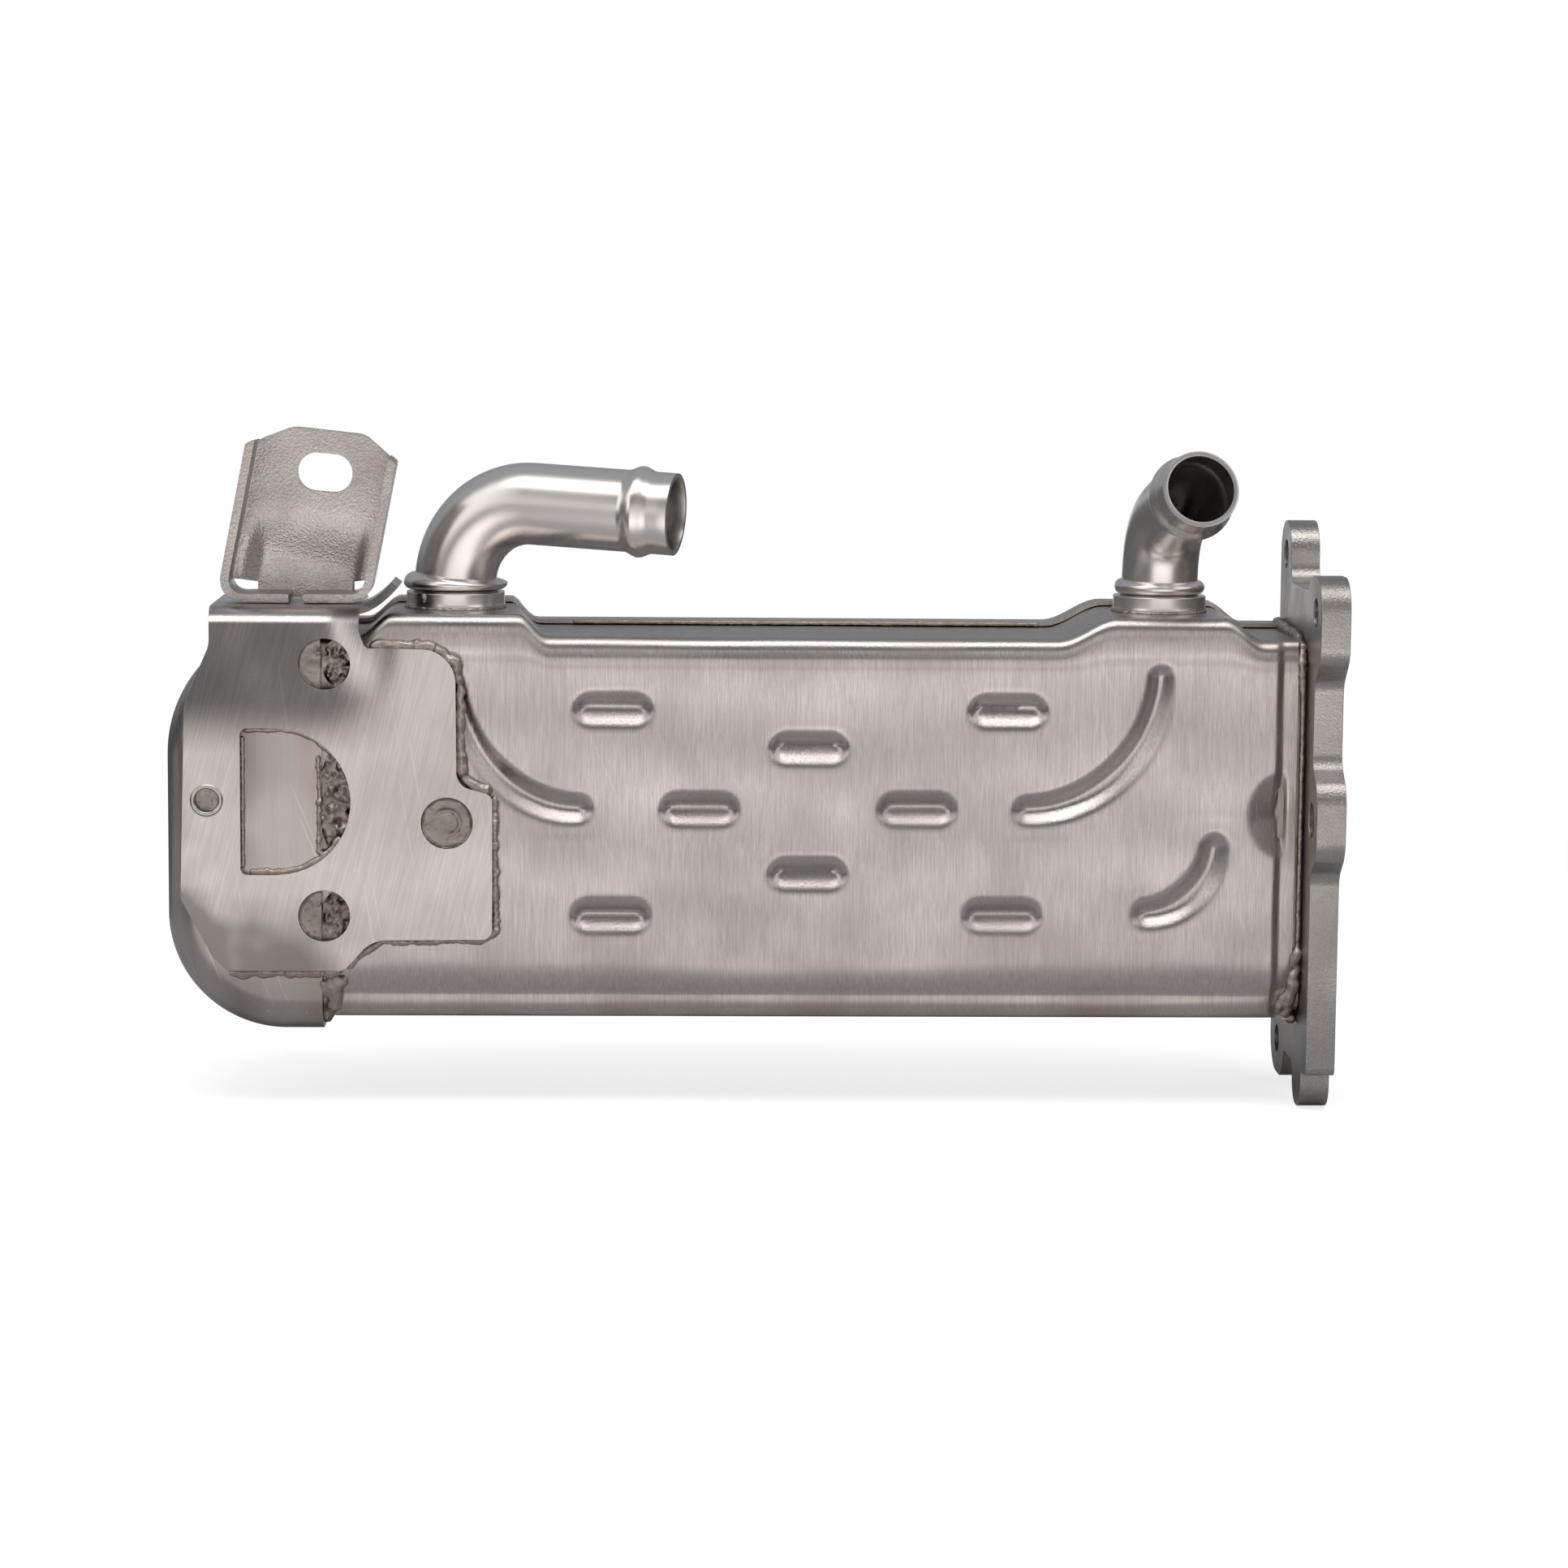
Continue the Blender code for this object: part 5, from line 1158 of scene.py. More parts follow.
@dataclass
class SupportPlate:
    """Folded plate that wraps the tank end, with braze windows. Lengths in millimetres."""

    thick: float = 2.0
    face: float = -27.4
    fold: float = 4.0
    top: float = 52.6
    back: float = 10.0
    left: float = -273.6
    right: float = -200.2
    bottom: float = -33.7
    fold_left: float = -266.5
    fold_right: float = -231.5
    windows: tuple[Pair, ...] = ((-239.6, 39.2), (-239.8, -20.5), (-210.9, 1.7))
    window_radius: float = 6.1
    big_left: float = -259.4
    big_ends: Pair = (24.0, -10.8)
    big_middle: Pair = (-250.8, 6.6)
    big_radius: float = 17.4
    lip: Pair = (-267.3, 6.9)
    lip_ring: Pair = (3.3, 0.62)
    lip_hole: float = 2.75
    curl_reach: float = 7.6
    curl_lift: float = 5.8
    curl_power: float = 1.7
    curl_back: float = -6.5

    def outline(self) -> list[Corner]:
        """Front outline, carried up past the fold."""
        above = self.top + 3.0
        return [
            (self.fold_left, above, 0.0), (self.fold_left, 43.5, 6.0), (self.left + 1.2, 30.0, 12.0),
            (self.left, -16.5, 2.0), (self.left + 7.6, self.bottom + 3.2, 6.0),
            (self.left + 11.0, self.bottom, 2.0), (-235.2, self.bottom, 3.0),
            (-228.6, self.bottom + 7.4, 7.0), (self.right, self.bottom + 7.6, 2.5),
            (self.right, 8.4, 2.2), (-208.6, 10.6, 4.0), (-208.9, 42.7, 8.0),
            (self.fold_right + 1.4, 43.0, 1.6), (self.fold_right, 47.0, 2.0),
            (self.fold_right, above, 0.0),
        ]

    def build(self, steel: bpy.types.Material) -> Item:
        """Fold, trim and pierce the plate."""
        inner = self.face + self.thick
        under = self.top - self.thick
        section = [
            (self.face, self.bottom - 3.0, 0.0), (self.face, self.top, self.fold),
            (self.back, self.top, 0.0), (self.back, under, 0.0),
            (inner, under, self.fold - self.thick), (inner, self.bottom - 3.0, 0.0),
        ]
        item = Bench.prism("plate", section, Plane.YZ, self.left - 3.0, self.right + 3.0)
        trim = Bench.prism("trim", self.outline(), Plane.XZ, self.face - 3.0, self.back + 3.0)
        Bench.join(item, trim, Join.KEEP)
        Bench.join(item, self.curled_end(), Join.ADD)
        for x, z in self.windows:
            Bench.join(item, self.drill(x, z, self.window_radius), Join.CUT)
        bow = arc(self.big_middle, self.big_radius, range(90, -91, -15))
        window = [(self.big_left, self.big_ends[0], 1.6), *((x, z, 14.0) for x, z in bow),
                  (self.big_left, self.big_ends[1], 1.6)]
        cutter = Bench.prism("window", window, Plane.XZ, self.face - 3.0, inner + 0.15)
        Bench.join(item, cutter, Join.CUT)
        Bench.join(item, self.raised_lip(), Join.ADD)
        Bench.join(item, self.drill(*self.lip, self.lip_hole), Join.CUT)
        Bench.soften(item, 0.32)
        return place(item, "plate_folded", steel, "plate_steel", "support_plate")

    def drill(self, x: float, z: float, radius: float) -> Item:
        """A round cutter through the front leg."""
        spot = Plane.XZ.point(x, z, self.face + self.thick - 2.85)
        return Bench.drill(spot, Plane.XZ, radius, 6.0, 64)

    def raised_lip(self) -> Item:
        """The ring that stands up round the small hole."""
        Bench.clear()
        bpy.ops.mesh.primitive_torus_add(
            major_segments=48, minor_segments=12, major_radius=self.lip_ring[0] * MM,
            minor_radius=self.lip_ring[1] * MM, location=Plane.XZ.point(*self.lip, self.face + 0.12),
            rotation=Plane.XZ.facing(),
        )
        return Bench.settle()

    def curled_end(self) -> Item:
        """The platform's end that curls up beside the tab."""
        upper: list[Corner] = []
        lower: list[Corner] = []
        slope = self.curl_lift * self.curl_power / self.curl_reach
        for share in np.arange(13) / 12.0:
            u = self.fold_right - 1.0 + (self.curl_reach + 1.0) * share
            v = self.top + self.curl_lift * share ** self.curl_power
            lean = math.atan(slope * share ** (self.curl_power - 1.0))
            upper.append((u, v, 0.0))
            lower.append((u + self.thick * math.sin(lean), v - self.thick * math.cos(lean), 0.0))
        corners = upper + lower[::-1]
        return Bench.prism("curl", corners, Plane.XZ, self.face + self.fold, self.curl_back)


@dataclass
class MountingTab:
    """Stamped tab with feet, side walls and a set-back face. Lengths in millimetres."""

    thick: float = 2.0
    front: float = -18.0
    back: float = -4.0
    lean: float = 11.0
    width: float = 35.5
    left: float = -265.8
    foot: float = 52.9
    left_top: float = 38.2
    right_top: float = 40.5
    left_foot_end: float = -248.6
    right_foot_end: float = -245.2
    top: float = 44.8
    bend: float = 5.5
    edge_bend: float = 3.0
    relief: float = 4.4
    panel_left: float = -257.0
    panel_right: float = -234.0
    slot_spot: Pair = (18.9, 34.4)
    slot_half: Pair = (6.5, 4.5)
    slot_corner: float = 4.4
    slot_tilt: float = 5.0
    grid: float = 0.9
    hollow: float = 2.8
    hollow_top: float = 27.5
    hollow_climb: float = 16.0
    hollow_left: float = 3.2
    hollow_right: float = 32.6

    def point(self, across: float, up: float) -> Pair:
        """Point of the tab's leaning frame as X and Z."""
        lean = math.radians(self.lean)
        x = self.left + across * math.cos(lean) + up * math.sin(lean)
        return x, self.foot - across * math.sin(lean) + up * math.cos(lean)

    def level(self, across: float, height: float) -> Pair:
        """Point at a height above the feet on one of the leaning lines."""
        lean = math.radians(self.lean)
        return self.point(across, (height + across * math.sin(lean)) / math.cos(lean))

    def wall(self, is_left: bool) -> Item:
        """One side wall with its foot."""
        edge = 0.0 if is_left else self.width
        inward = self.thick if is_left else -self.thick
        wall_top = self.left_top if is_left else self.right_top
        foot_end = self.left_foot_end if is_left else self.right_foot_end
        corners = [
            (*self.point(edge, wall_top), 0.8), (*self.level(edge, 0.0), self.bend),
            (foot_end, self.foot, 0.0), (foot_end, self.foot + self.thick, 0.5),
            (*self.level(edge + inward, self.thick), self.bend - self.thick),
            (*self.point(edge + inward, wall_top + self.thick / 2.0), 0.0),
        ]
        return Bench.prism("wall", corners, Plane.XZ, self.front, self.back - self.thick / 4.0)

    def web(self) -> Item:
        """The face between the walls."""
        half = self.thick / 2.0
        low = self.foot + self.relief
        corners = [
            (*self.point(half, self.left_top), 0.0),
            (*self.point(self.thick * 1.6, self.left_top + 1.6), 1.0),
            (*self.point(9.5, self.top - 1.1), 6.0), (*self.point(26.5, self.top + 0.4), 5.0),
            (*self.point(self.width - half, self.right_top), 1.0),
            (*self.level(self.width - half, self.relief + 0.4), 0.0),
            (self.panel_right, low - 0.4, 0.0), (self.panel_right, self.foot + 0.3, 0.5),
            (self.panel_left, self.foot + 0.3, 0.5), (self.panel_left, low, 0.0),
            (*self.level(half, self.relief + 0.4), 0.0),
        ]
        return Bench.prism("web", corners, Plane.XZ, self.back - self.thick, self.back)

    def slot(self) -> Item:
        """Cutter for the bolt slot, which lies a little aslant."""
        middle_x, middle_z = self.point(*self.slot_spot)
        tilt = math.radians(self.slot_tilt)
        half_u, half_v = self.slot_half
        corners: list[Corner] = []
        for u, v in ((-half_u, -half_v), (-half_u, half_v), (half_u, half_v), (half_u, -half_v)):
            corners.append((middle_x + u * math.cos(tilt) + v * math.sin(tilt),
                            middle_z + v * math.cos(tilt) - u * math.sin(tilt), self.slot_corner))
        return Bench.prism("slot", corners, Plane.XZ, self.back - 6.0, self.back + 3.0)

    def round_edge(self, across: float, side: float) -> Item:
        """Cutter that rounds the outer corner between a wall and the web."""
        bend, clear = self.edge_bend, 3.0
        behind = self.back + clear
        ring = [(across - side * clear, behind), (across + side * bend, behind)]
        for angle in np.radians(np.linspace(0.0, 90.0, 9)):
            ring.append((across + side * bend * (1.0 - math.sin(angle)),
                         self.back - bend * (1.0 - math.cos(angle))))
        ring.append((across - side * clear, self.back - bend))
        Bench.clear()
        bpy.ops.mesh.primitive_circle_add(vertices=len(ring), radius=1.0, fill_type="NGON")
        item = bpy.context.object
        for vertex, (u, y) in zip(item.data.vertices, ring):
            vertex.co = Plane.XZ.point(*self.point(u, self.relief), y)
        x_low, z_low = self.point(0.0, self.relief)
        x_high, z_high = self.point(0.0, self.top + clear)
        Bench.pick_all(item)
        bpy.ops.mesh.extrude_region_move(TRANSFORM_OT_translate={
            "value": Plane.XZ.point(x_high - x_low, z_high - z_low, 0.0)})
        return Bench.point_out(item)

    def slice(self, item: Item) -> None:
        """Cut the tab into a fine grid, so that its face can be pressed."""
        lean = math.radians(self.lean)
        upward = (math.sin(lean), 0.0, math.cos(lean))
        rightward = (math.cos(lean), 0.0, -math.sin(lean))
        cuts = [((0.0, up), upward) for up in np.arange(1.0, 46.0, self.grid)]
        cuts += [((across, 0.0), rightward) for across in np.arange(0.6, 35.4, self.grid)]
        Bench.pick_all(item)
        for spot, direction in cuts:
            bpy.ops.mesh.select_all(action="SELECT")
            bpy.ops.mesh.bisect(plane_co=Plane.XZ.point(*self.point(*spot), 0.0), plane_no=direction)
        Bench.clear()

    def press(self, item: Item) -> None:
        """Press the lower half of the face back in a smooth hollow."""
        self.slice(item)
        lean = math.radians(self.lean)
        places = Bench.read(item) / MM
        right, above = places[:, 0] - self.left, places[:, 2] - self.foot
        across = right * math.cos(lean) - above * math.sin(lean)
        up = right * math.sin(lean) + above * math.cos(lean)
        hollow = ease((self.hollow_top - up) / self.hollow_climb, 1.2)
        hollow *= ease((across - self.hollow_left) / 5.5)
        hollow *= ease((self.hollow_right - across) / 3.0)
        on_face = places[:, 1] > self.back - self.thick - 0.3
        places[:, 1] += np.where(on_face, self.hollow * hollow, 0.0)
        Bench.write(item, places * MM)
        Bench.take(item)
        bpy.ops.mesh.customdata_custom_splitnormals_clear()
        Bench.smooth(item, 40.0)

    def build(self, steel: bpy.types.Material) -> Item:
        """Stamp, bend and pierce the tab."""
        item = self.web()
        for is_left in (True, False):
            Bench.join(item, self.wall(is_left), Join.ADD)
        for across, side in ((0.0, 1.0), (self.width, -1.0)):
            Bench.join(item, self.round_edge(across, side), Join.CUT)
        Bench.join(item, self.slot(), Join.CUT)
        Bench.soften(item, 0.35)
        self.press(item)
        return place(item, "tab_stamped", steel, "tab_steel", "mounting_tab")


@dataclass
class GasFlange:
    """Thick flange with ears, lobe, feet and two gas ports. Lengths in millimetres."""

    thick: float = 7.0
    front: float = -33.0
    back: float = 23.0
    top: float = 57.5
    bottom: float = -57.5
    ear: float = -41.0
    lobe: float = 72.0
    bolts: tuple[Corner, ...] = ((-32.5, 53.0, 3.5), (14.75, 63.75, 3.5), (12.5, -56.6, 3.5),
                                 (-33.0, 4.0, 4.2))
    port_half: float = 18.0
    port_spans: tuple[Pair, ...] = ((5.0, 39.0), (-39.0, -5.0))
    port_corner: float = 9.0

    def outline(self) -> list[Corner]:
        """Outline as Y and Z with corner radii."""
        return [
            (self.front, self.bottom, 2.0), (self.front, -9.5, 5.0), (self.ear, -3.5, 7.0),
            (self.ear, 11.5, 7.0), (self.front, 17.5, 5.0), (self.front, 36.0, 5.0),
            (self.ear, 42.8, 6.0), (self.ear, 61.5, 8.16), (-24.0, 61.5, 8.16),
            (-21.0, self.top, 2.5), (6.5, self.top, 5.0), (6.5, self.lobe, 7.92),
            (self.back, self.lobe, 7.92), (self.back, -65.0, 9.45), (2.0, -65.0, 6.72),
            (2.0, self.bottom, 3.0), (-12.5, self.bottom, 3.0), (-12.5, -67.0, 5.98),
            (-25.5, -67.0, 5.98), (-25.5, self.bottom, 1.0),
        ]

    def build(self, steel: bpy.types.Material) -> Item:
        """Cut the flange, its ports and its bolt holes, and break its edges."""
        item = Bench.prism("flange", self.outline(), Plane.YZ, -self.thick, 0.0, 5.0)
        for y, z, radius in self.bolts:
            drill = Bench.drill(Plane.YZ.point(y, z, 0.0), Plane.YZ, radius, 4.0 * self.thick, 48)
            Bench.join(item, drill, Join.CUT)
        for low, high in self.port_spans:
            corners = [(y, z, self.port_corner) for y, z in (
                (-self.port_half, low), (-self.port_half, high),
                (self.port_half, high), (self.port_half, low),
            )]
            Bench.join(item, Bench.prism("port", corners, Plane.YZ, -20.0, 20.0), Join.CUT)
        Bench.soften(item, 0.75, 4)
        return place(item, "flange_cast", steel, "flange_steel", "gas_flange")


@dataclass
class CoolantPipe:
    """A bent, beaded pipe with its turned collar. Lengths in millimetres, angles in degrees."""

    name: str
    x: float
    radius: float
    ring_rise: float
    turn: float
    rise: float
    tip: Corner
    run: float
    pulls: Pair
    wall: float = 1.2
    foot: float = 49.4
    ring_height: float = 56.6
    ring_length: float = 3.4
    bead_rise: float = 1.1
    bead_length: float = 7.0
    bead_setback: float = 8.5
    collar_gap: float = 0.3
    samples: int = 900

    def path(self) -> np.ndarray:
        """Places along the pipe's middle, from its foot to its mouth."""
        turn, rise = math.radians(self.turn), math.radians(self.rise)
        heading = np.array([math.sin(turn) * math.cos(rise), -math.cos(turn) * math.cos(rise),
                            math.sin(rise)])
        start = np.array([self.x, 0.0, self.ring_height])
        tip = np.array(self.tip)
        end = tip - heading * self.run
        lead = start + np.array([0.0, 0.0, self.pulls[0]])
        tail = end - heading * self.pulls[1]
        t = np.linspace(0.0, 1.0, self.samples)[:, None]
        s = 1.0 - t
        curve = start * s**3 + lead * 3 * s * s * t + tail * 3 * s * t * t + end * t**3
        pieces = [np.array([[self.x, 0.0, self.foot]]), curve]
        if self.run > 0.0:
            pieces.append(tip[None, :])
        return np.concatenate(pieces)

    def stations(self, length: float) -> np.ndarray:
        """Distances from the foot at which the pipe has a ring of points, close at its beads."""
        ring_at, bead_at = self.ring_height - self.foot, length - self.bead_setback
        return np.unique(np.round(np.concatenate([
            [0.0, 2.0], np.linspace(ring_at - 2.0, ring_at + 2.0, 25),
            np.linspace(ring_at + 2.6, bead_at - 4.2, 60),
            np.linspace(bead_at - 3.8, bead_at + 3.8, 23), [length - 2.5, length],
        ]), 4))

    def swell(self, along: np.ndarray, length: float) -> np.ndarray:
        """Growth of the radius: the rolled ring at the foot and the hose bead at the mouth."""
        ring_at = self.ring_height - self.foot
        ring = np.abs(along - ring_at) / (self.ring_length / 2.0)
        bead = np.abs(along - (length - self.bead_setback)) / (self.bead_length / 2.0)
        ringed = self.ring_rise * np.maximum(0.0, 1.0 - np.minimum(ring, 1.0) ** 2) ** 0.5
        beaded = self.bead_rise * (0.5 + 0.5 * np.cos(np.pi * np.minimum(bead, 1.0)))
        return np.maximum(ringed, beaded)

    def build(self, steel: bpy.types.Material) -> Item:
        """Bend and bead the pipe and bore it."""
        corners = self.path()
        steps = np.linalg.norm(np.diff(corners, axis=0), axis=1)
        lengths = np.concatenate([[0.0], np.cumsum(steps)])
        along = self.stations(lengths[-1])
        points = [Vector([np.interp(spot, lengths, corners[:, axis]) for axis in range(3)]) * MM
                  for spot in along]
        factors = 1.0 + self.swell(along, lengths[-1]) / self.radius
        item = Bench.rope(self.name, points, self.radius, list(factors), 22, False)
        Bench.pick_all(item)
        bpy.ops.mesh.normals_make_consistent(inside=False)
        Bench.clear()
        Bench.apply(item, "SOLIDIFY", thickness=self.wall * MM, offset=-1.0, use_even_offset=True)
        Bench.apply(item, "BEVEL", width=0.3 * MM, segments=3, limit_method="ANGLE",
                    angle_limit=math.radians(50.0))
        Bench.smooth(item, 45.0)
        return place(item, self.name + "_bent", steel, "jacket_steel", self.name)

    def collar(self, steel: bpy.types.Material) -> Item:
        """Turn the collar under the pipe."""
        bore = self.x + self.radius + self.collar_gap
        profile = [(0.0, self.foot), (0.0, 54.6), (1.7, 54.6), (1.7, 52.2),
                   (1.9, 51.4), (1.7, 51.0), (1.0, 51.0), (1.0, self.foot)]
        Bench.clear()
        bpy.ops.mesh.primitive_circle_add(vertices=len(profile), radius=1.0, fill_type="NOTHING")
        item = bpy.context.object
        for vertex, (wall, height) in zip(item.data.vertices, profile):
            vertex.co = Vector((bore + wall, 0.0, height)) * MM
        Bench.pick_all(item, "EDGE")
        bpy.ops.mesh.spin(steps=72, angle=math.tau, center=Vector((self.x, 0.0, 0.0)) * MM,
                          axis=(0.0, 0.0, 1.0))
        Bench.point_out(item)
        Bench.soften(item, 0.25)
        name = self.name.replace("coolant_", "").replace("_pipe", "")
        return place(item, name + "_collar_turned", steel, "jacket_steel", name + "_collar")


@dataclass(frozen=True)
class Patch:
    """An oval patch of braze with a lumpy skin; lip_shadow is instead a dark sheet of painted shadow
    in the small hole. Lengths in millimetres.
    """

    name: str
    middle: Pair
    half: Pair
    level: float
    lump: float
    seed: int
    end: float | None = None
    wall: float = 0.5
    ring_at: float = 0.5
    ring_width: float = 0.09
    ring_lumps: float = 3.0
    rim_at: float = 0.84
    rim_lumps: float = 4.0

    def build(self, steel: bpy.types.Material, is_ringed: bool) -> Item:
        """Lay the patch.

        Args:
            steel: Its material.
            is_ringed: Whether it fills a window to the rim and bears a ring shaped mark.

        Returns:
            The finished patch.
        """
        Bench.clear()
        bpy.ops.mesh.primitive_grid_add(x_subdivisions=64, y_subdivisions=64, size=2.0)
        item = bpy.context.object
        flat = Bench.read(item)
        u = flat[:, 0] * np.sqrt(1.0 - flat[:, 1] ** 2 / 2.0)
        v = flat[:, 1] * np.sqrt(1.0 - flat[:, 0] ** 2 / 2.0)
        x, z = self.middle[0] + self.half[0] * u, self.middle[1] + self.half[1] * v
        swell = self.lumps(x, z)
        if is_ringed:
            off = np.hypot(u, v)
            open_side = np.clip((u + 0.55 * v + 0.35) * 3.0, 0.0, 1.0)
            ring = np.exp(-(((off - self.ring_at) / self.ring_width) ** 2))
            rim = np.clip((off - self.rim_at) / (1.0 - self.rim_at), 0.0, 1.0)
            swell += self.ring_lumps * open_side * ring + self.rim_lumps * rim ** 2
        Bench.write(item, np.stack([x, self.level - self.lump * swell, z], axis=1) * MM)
        if self.end is not None:
            Bench.pick(item, "FACE", lambda face: face.calc_center_median().x > self.end * MM)
            bpy.ops.mesh.delete(type="FACE")
            Bench.clear()
        Bench.apply(item, "SOLIDIFY", thickness=self.wall * MM, offset=-1.0)
        Bench.smooth(item, 60.0)
        return place(item, self.name, steel, "jacket_steel")

    def lumps(self, x: np.ndarray, z: np.ndarray) -> np.ndarray:
        """Sum of many small swellings at random spots of the patch."""
        chance = np.random.default_rng(self.seed)
        middle, half = np.array(self.middle), np.array(self.half)
        swell = np.zeros_like(x)
        for _ in range(int(9 * half[0] * half[1])):
            spot_x, spot_z = middle + half * chance.uniform(-1.0, 1.0, 2)
            width = chance.uniform(0.35, 1.1)
            gap = ((x - spot_x) ** 2 + (z - spot_z) ** 2) / width ** 2
            swell += chance.normal(0.0, 0.6) * np.exp(-gap)
        return swell


class Seams:
    """Weld beads, braze fillets, braze filled windows and a dark sheet of painted shadow in the small
    hole.
    """

    fills = (
        Patch("top_window_fill", (-239.6, 39.2), (6.0, 6.0), -26.5, 0.06, 31, -240.6),
        Patch("low_window_fill", (-239.8, -20.5), (6.0, 6.0), -26.5, 0.06, 32, -240.6),
        Patch("right_window_fill", (-210.9, 1.7), (6.0, 6.0), -26.6, 0.07, 33),
    )
    scorches = (
        Patch("top_window_scorch", (-236.8, 39.2), (3.4, 5.6), -24.6, 0.26, 41),
        Patch("low_window_scorch", (-236.9, -20.5), (3.5, 5.6), -24.5, 0.28, 42),
        Patch("big_window_scorch", (-237.4, 6.4), (3.6, 12.5), -24.5, 0.32, 43),
        # Painted shadow: a dark sheet behind the small hole, so that the hole reads dark.
        Patch("lip_shadow", (-267.3, 6.9), (2.6, 2.6), -25.7, 0.05, 44),
    )

    def build(self, steels: Finishes) -> None:
        """Lay every seam."""
        for name, beads, voxel, rough in (
            ("flange_weld", self.flange_weld(), 0.3, 0.35),
            ("tank_braze", self.tank_braze(), 0.33, 0.4),
            ("plate_braze", self.plate_braze(), 0.25, 0.22),
            ("rim_braze", self.rim_braze(), 0.3, 0.25),
            ("collar_braze", self.collar_braze(), 0.22, 0.2),
            ("window_braze", self.window_braze(), 0.22, 0.2),
        ):
            place(Bench.fuse(name, beads, voxel, rough), name, steels.braze, "jacket_steel")
        for patch in self.fills:
            patch.build(steels.filler, True)
        for patch in self.scorches:
            patch.build(steels.scorched, False)

    @staticmethod
    def flange_weld() -> list[Item]:
        """Bead between the jacket's end and the flange."""
        x = -8.2
        return [
            Bench.bead([(x, -22.9, 41.0), (x + 0.2, -22.9, 30.0), (x + 0.2, -22.9, -30.0)],
                       0.6, 0.2, 1),
            Bench.bead([(x - 0.2, -22.6, 41.0), (x, -22.8, 33.0)], 0.9, 0.4, 2),
            Bench.bead([(x, -22.6, -28.0), (x - 0.6, -22.0, -36.0), (x - 1.4, -21.2, -42.0),
                        (x - 1.4, -19.0, -45.2)], 1.5, 0.6, 3),
            Bench.bead([(x - 1.6, -21.4, -38.5), (x - 3.6, -20.6, -42.5), (x - 3.2, -19.2, -44.8)],
                       1.2, 0.6, 17),
            Bench.bead([(x - 0.2, -23.0, 38.5), (x, -20.0, 44.0), (x, -12.0, 46.0), (x, 20.0, 46.4),
                        (x, 24.0, 41.0), (x, 24.0, -41.0), (x, 20.0, -46.4), (x, -18.0, -46.0)],
                       1.25, 0.4, 4),
        ]

    @staticmethod
    def tank_braze() -> list[Item]:
        """Bead round the tank's mouth, heavy at its lower front corner."""
        x = -240.0
        return [
            Bench.bead([(x, -23.9, -28.0), (x, -24.2, -38.0), (x, -20.5, -45.5), (x, -12.0, -47.4),
                        (x, 18.0, -47.4), (x, 23.6, -41.0), (x, 23.6, 41.0), (x, 18.0, 47.4),
                        (x, -14.0, 47.4)], 1.1, 0.45, 5),
            Bench.bead([(x + 1.4, -23.6, -35.0), (x + 2.2, -22.8, -41.0), (x + 1.0, -19.5, -45.2)],
                       1.9, 0.5, 6),
            Bench.bead([(x + 5.2, -22.6, -35.4), (x + 3.0, -22.9, -38.0)], 1.5, 0.5, 7),
        ]

    @staticmethod
    def plate_braze() -> list[Item]:
        """Fillets where the plate meets the jacket and the tank."""
        y = -24.8
        return [
            Bench.bead([(-229.0, y, 43.6), (-214.0, y, 43.2), (-209.4, y, 39.8), (-207.9, y, 34.0),
                        (-207.8, y, 14.0), (-205.6, y, 10.9), (-200.2, y, 8.9)], 1.35, 0.5, 8),
            Bench.bead([(-199.8, y, 8.0), (-199.5, y, -24.6), (-201.8, y, -26.8)], 1.0, 0.55, 9),
            Bench.bead([(-202.0, y, -26.7), (-226.0, y, -26.9), (-231.0, y, -29.7),
                        (-234.6, y, -33.4)], 1.0, 0.5, 10),
            Bench.bead([(-236.0, -25.7, -34.2), (-262.4, -25.6, -34.4)], 1.25, 0.6, 11),
        ]

    @staticmethod
    def rim_braze() -> list[Item]:
        """Thin line where the back half laps over the front half."""
        return [
            Bench.bead([(-238.0, 12.6, -46.4), (-10.0, 12.6, -46.4)], 0.55, 0.35, 12),
            Bench.bead([(-182.0, 12.6, 46.2), (-68.0, 12.6, 46.2)], 0.5, 0.3, 13),
        ]

    @staticmethod
    def collar_braze() -> list[Item]:
        """Fillets round the foot of both collars, with a drop on the left one."""
        beads: list[Item] = []
        for x, radius, seed in ((-209.9, 11.9, 14), (-40.0, 11.3, 15)):
            ring = [(*spot, 50.9) for spot in arc((x, 0.0), radius, range(0, 361, 12))]
            beads.append(Bench.bead(ring, 0.45, 0.35, seed))
        beads.append(Bench.bead([(-217.0, -9.4, 54.6), (-217.2, -9.5, 52.4)], 0.75, 0.3, 16))
        return beads

    @staticmethod
    def window_braze() -> list[Item]:
        """Fillets inside the big window and along the tank's edge behind it."""
        y = -25.2
        high, low = (
            [(x, y, z) for x, z in arc(SupportPlate.big_middle, 17.0, degrees)]
            for degrees in (range(96, 33, -6), range(-30, -97, -6))
        )
        return [
            Bench.bead([(-258.9, y, 23.4), *high], 0.75, 0.35, 24),
            Bench.bead([*low, (-257.5, y, -10.3)], 0.95, 0.4, 25),
            Bench.bead([(-259.0, y, 22.0), (-259.0, y, -9.5)], 0.55, 0.3, 26),
            Bench.bead([(-241.2, -25.3, 17.5), (-241.0, y, 8.0), (-241.2, -25.3, -6.0)],
                       0.6, 0.45, 27),
            Bench.bead([(-241.6, -25.6, 6.8), (-240.4, -25.4, 6.0)], 1.1, 0.3, 28),
        ]


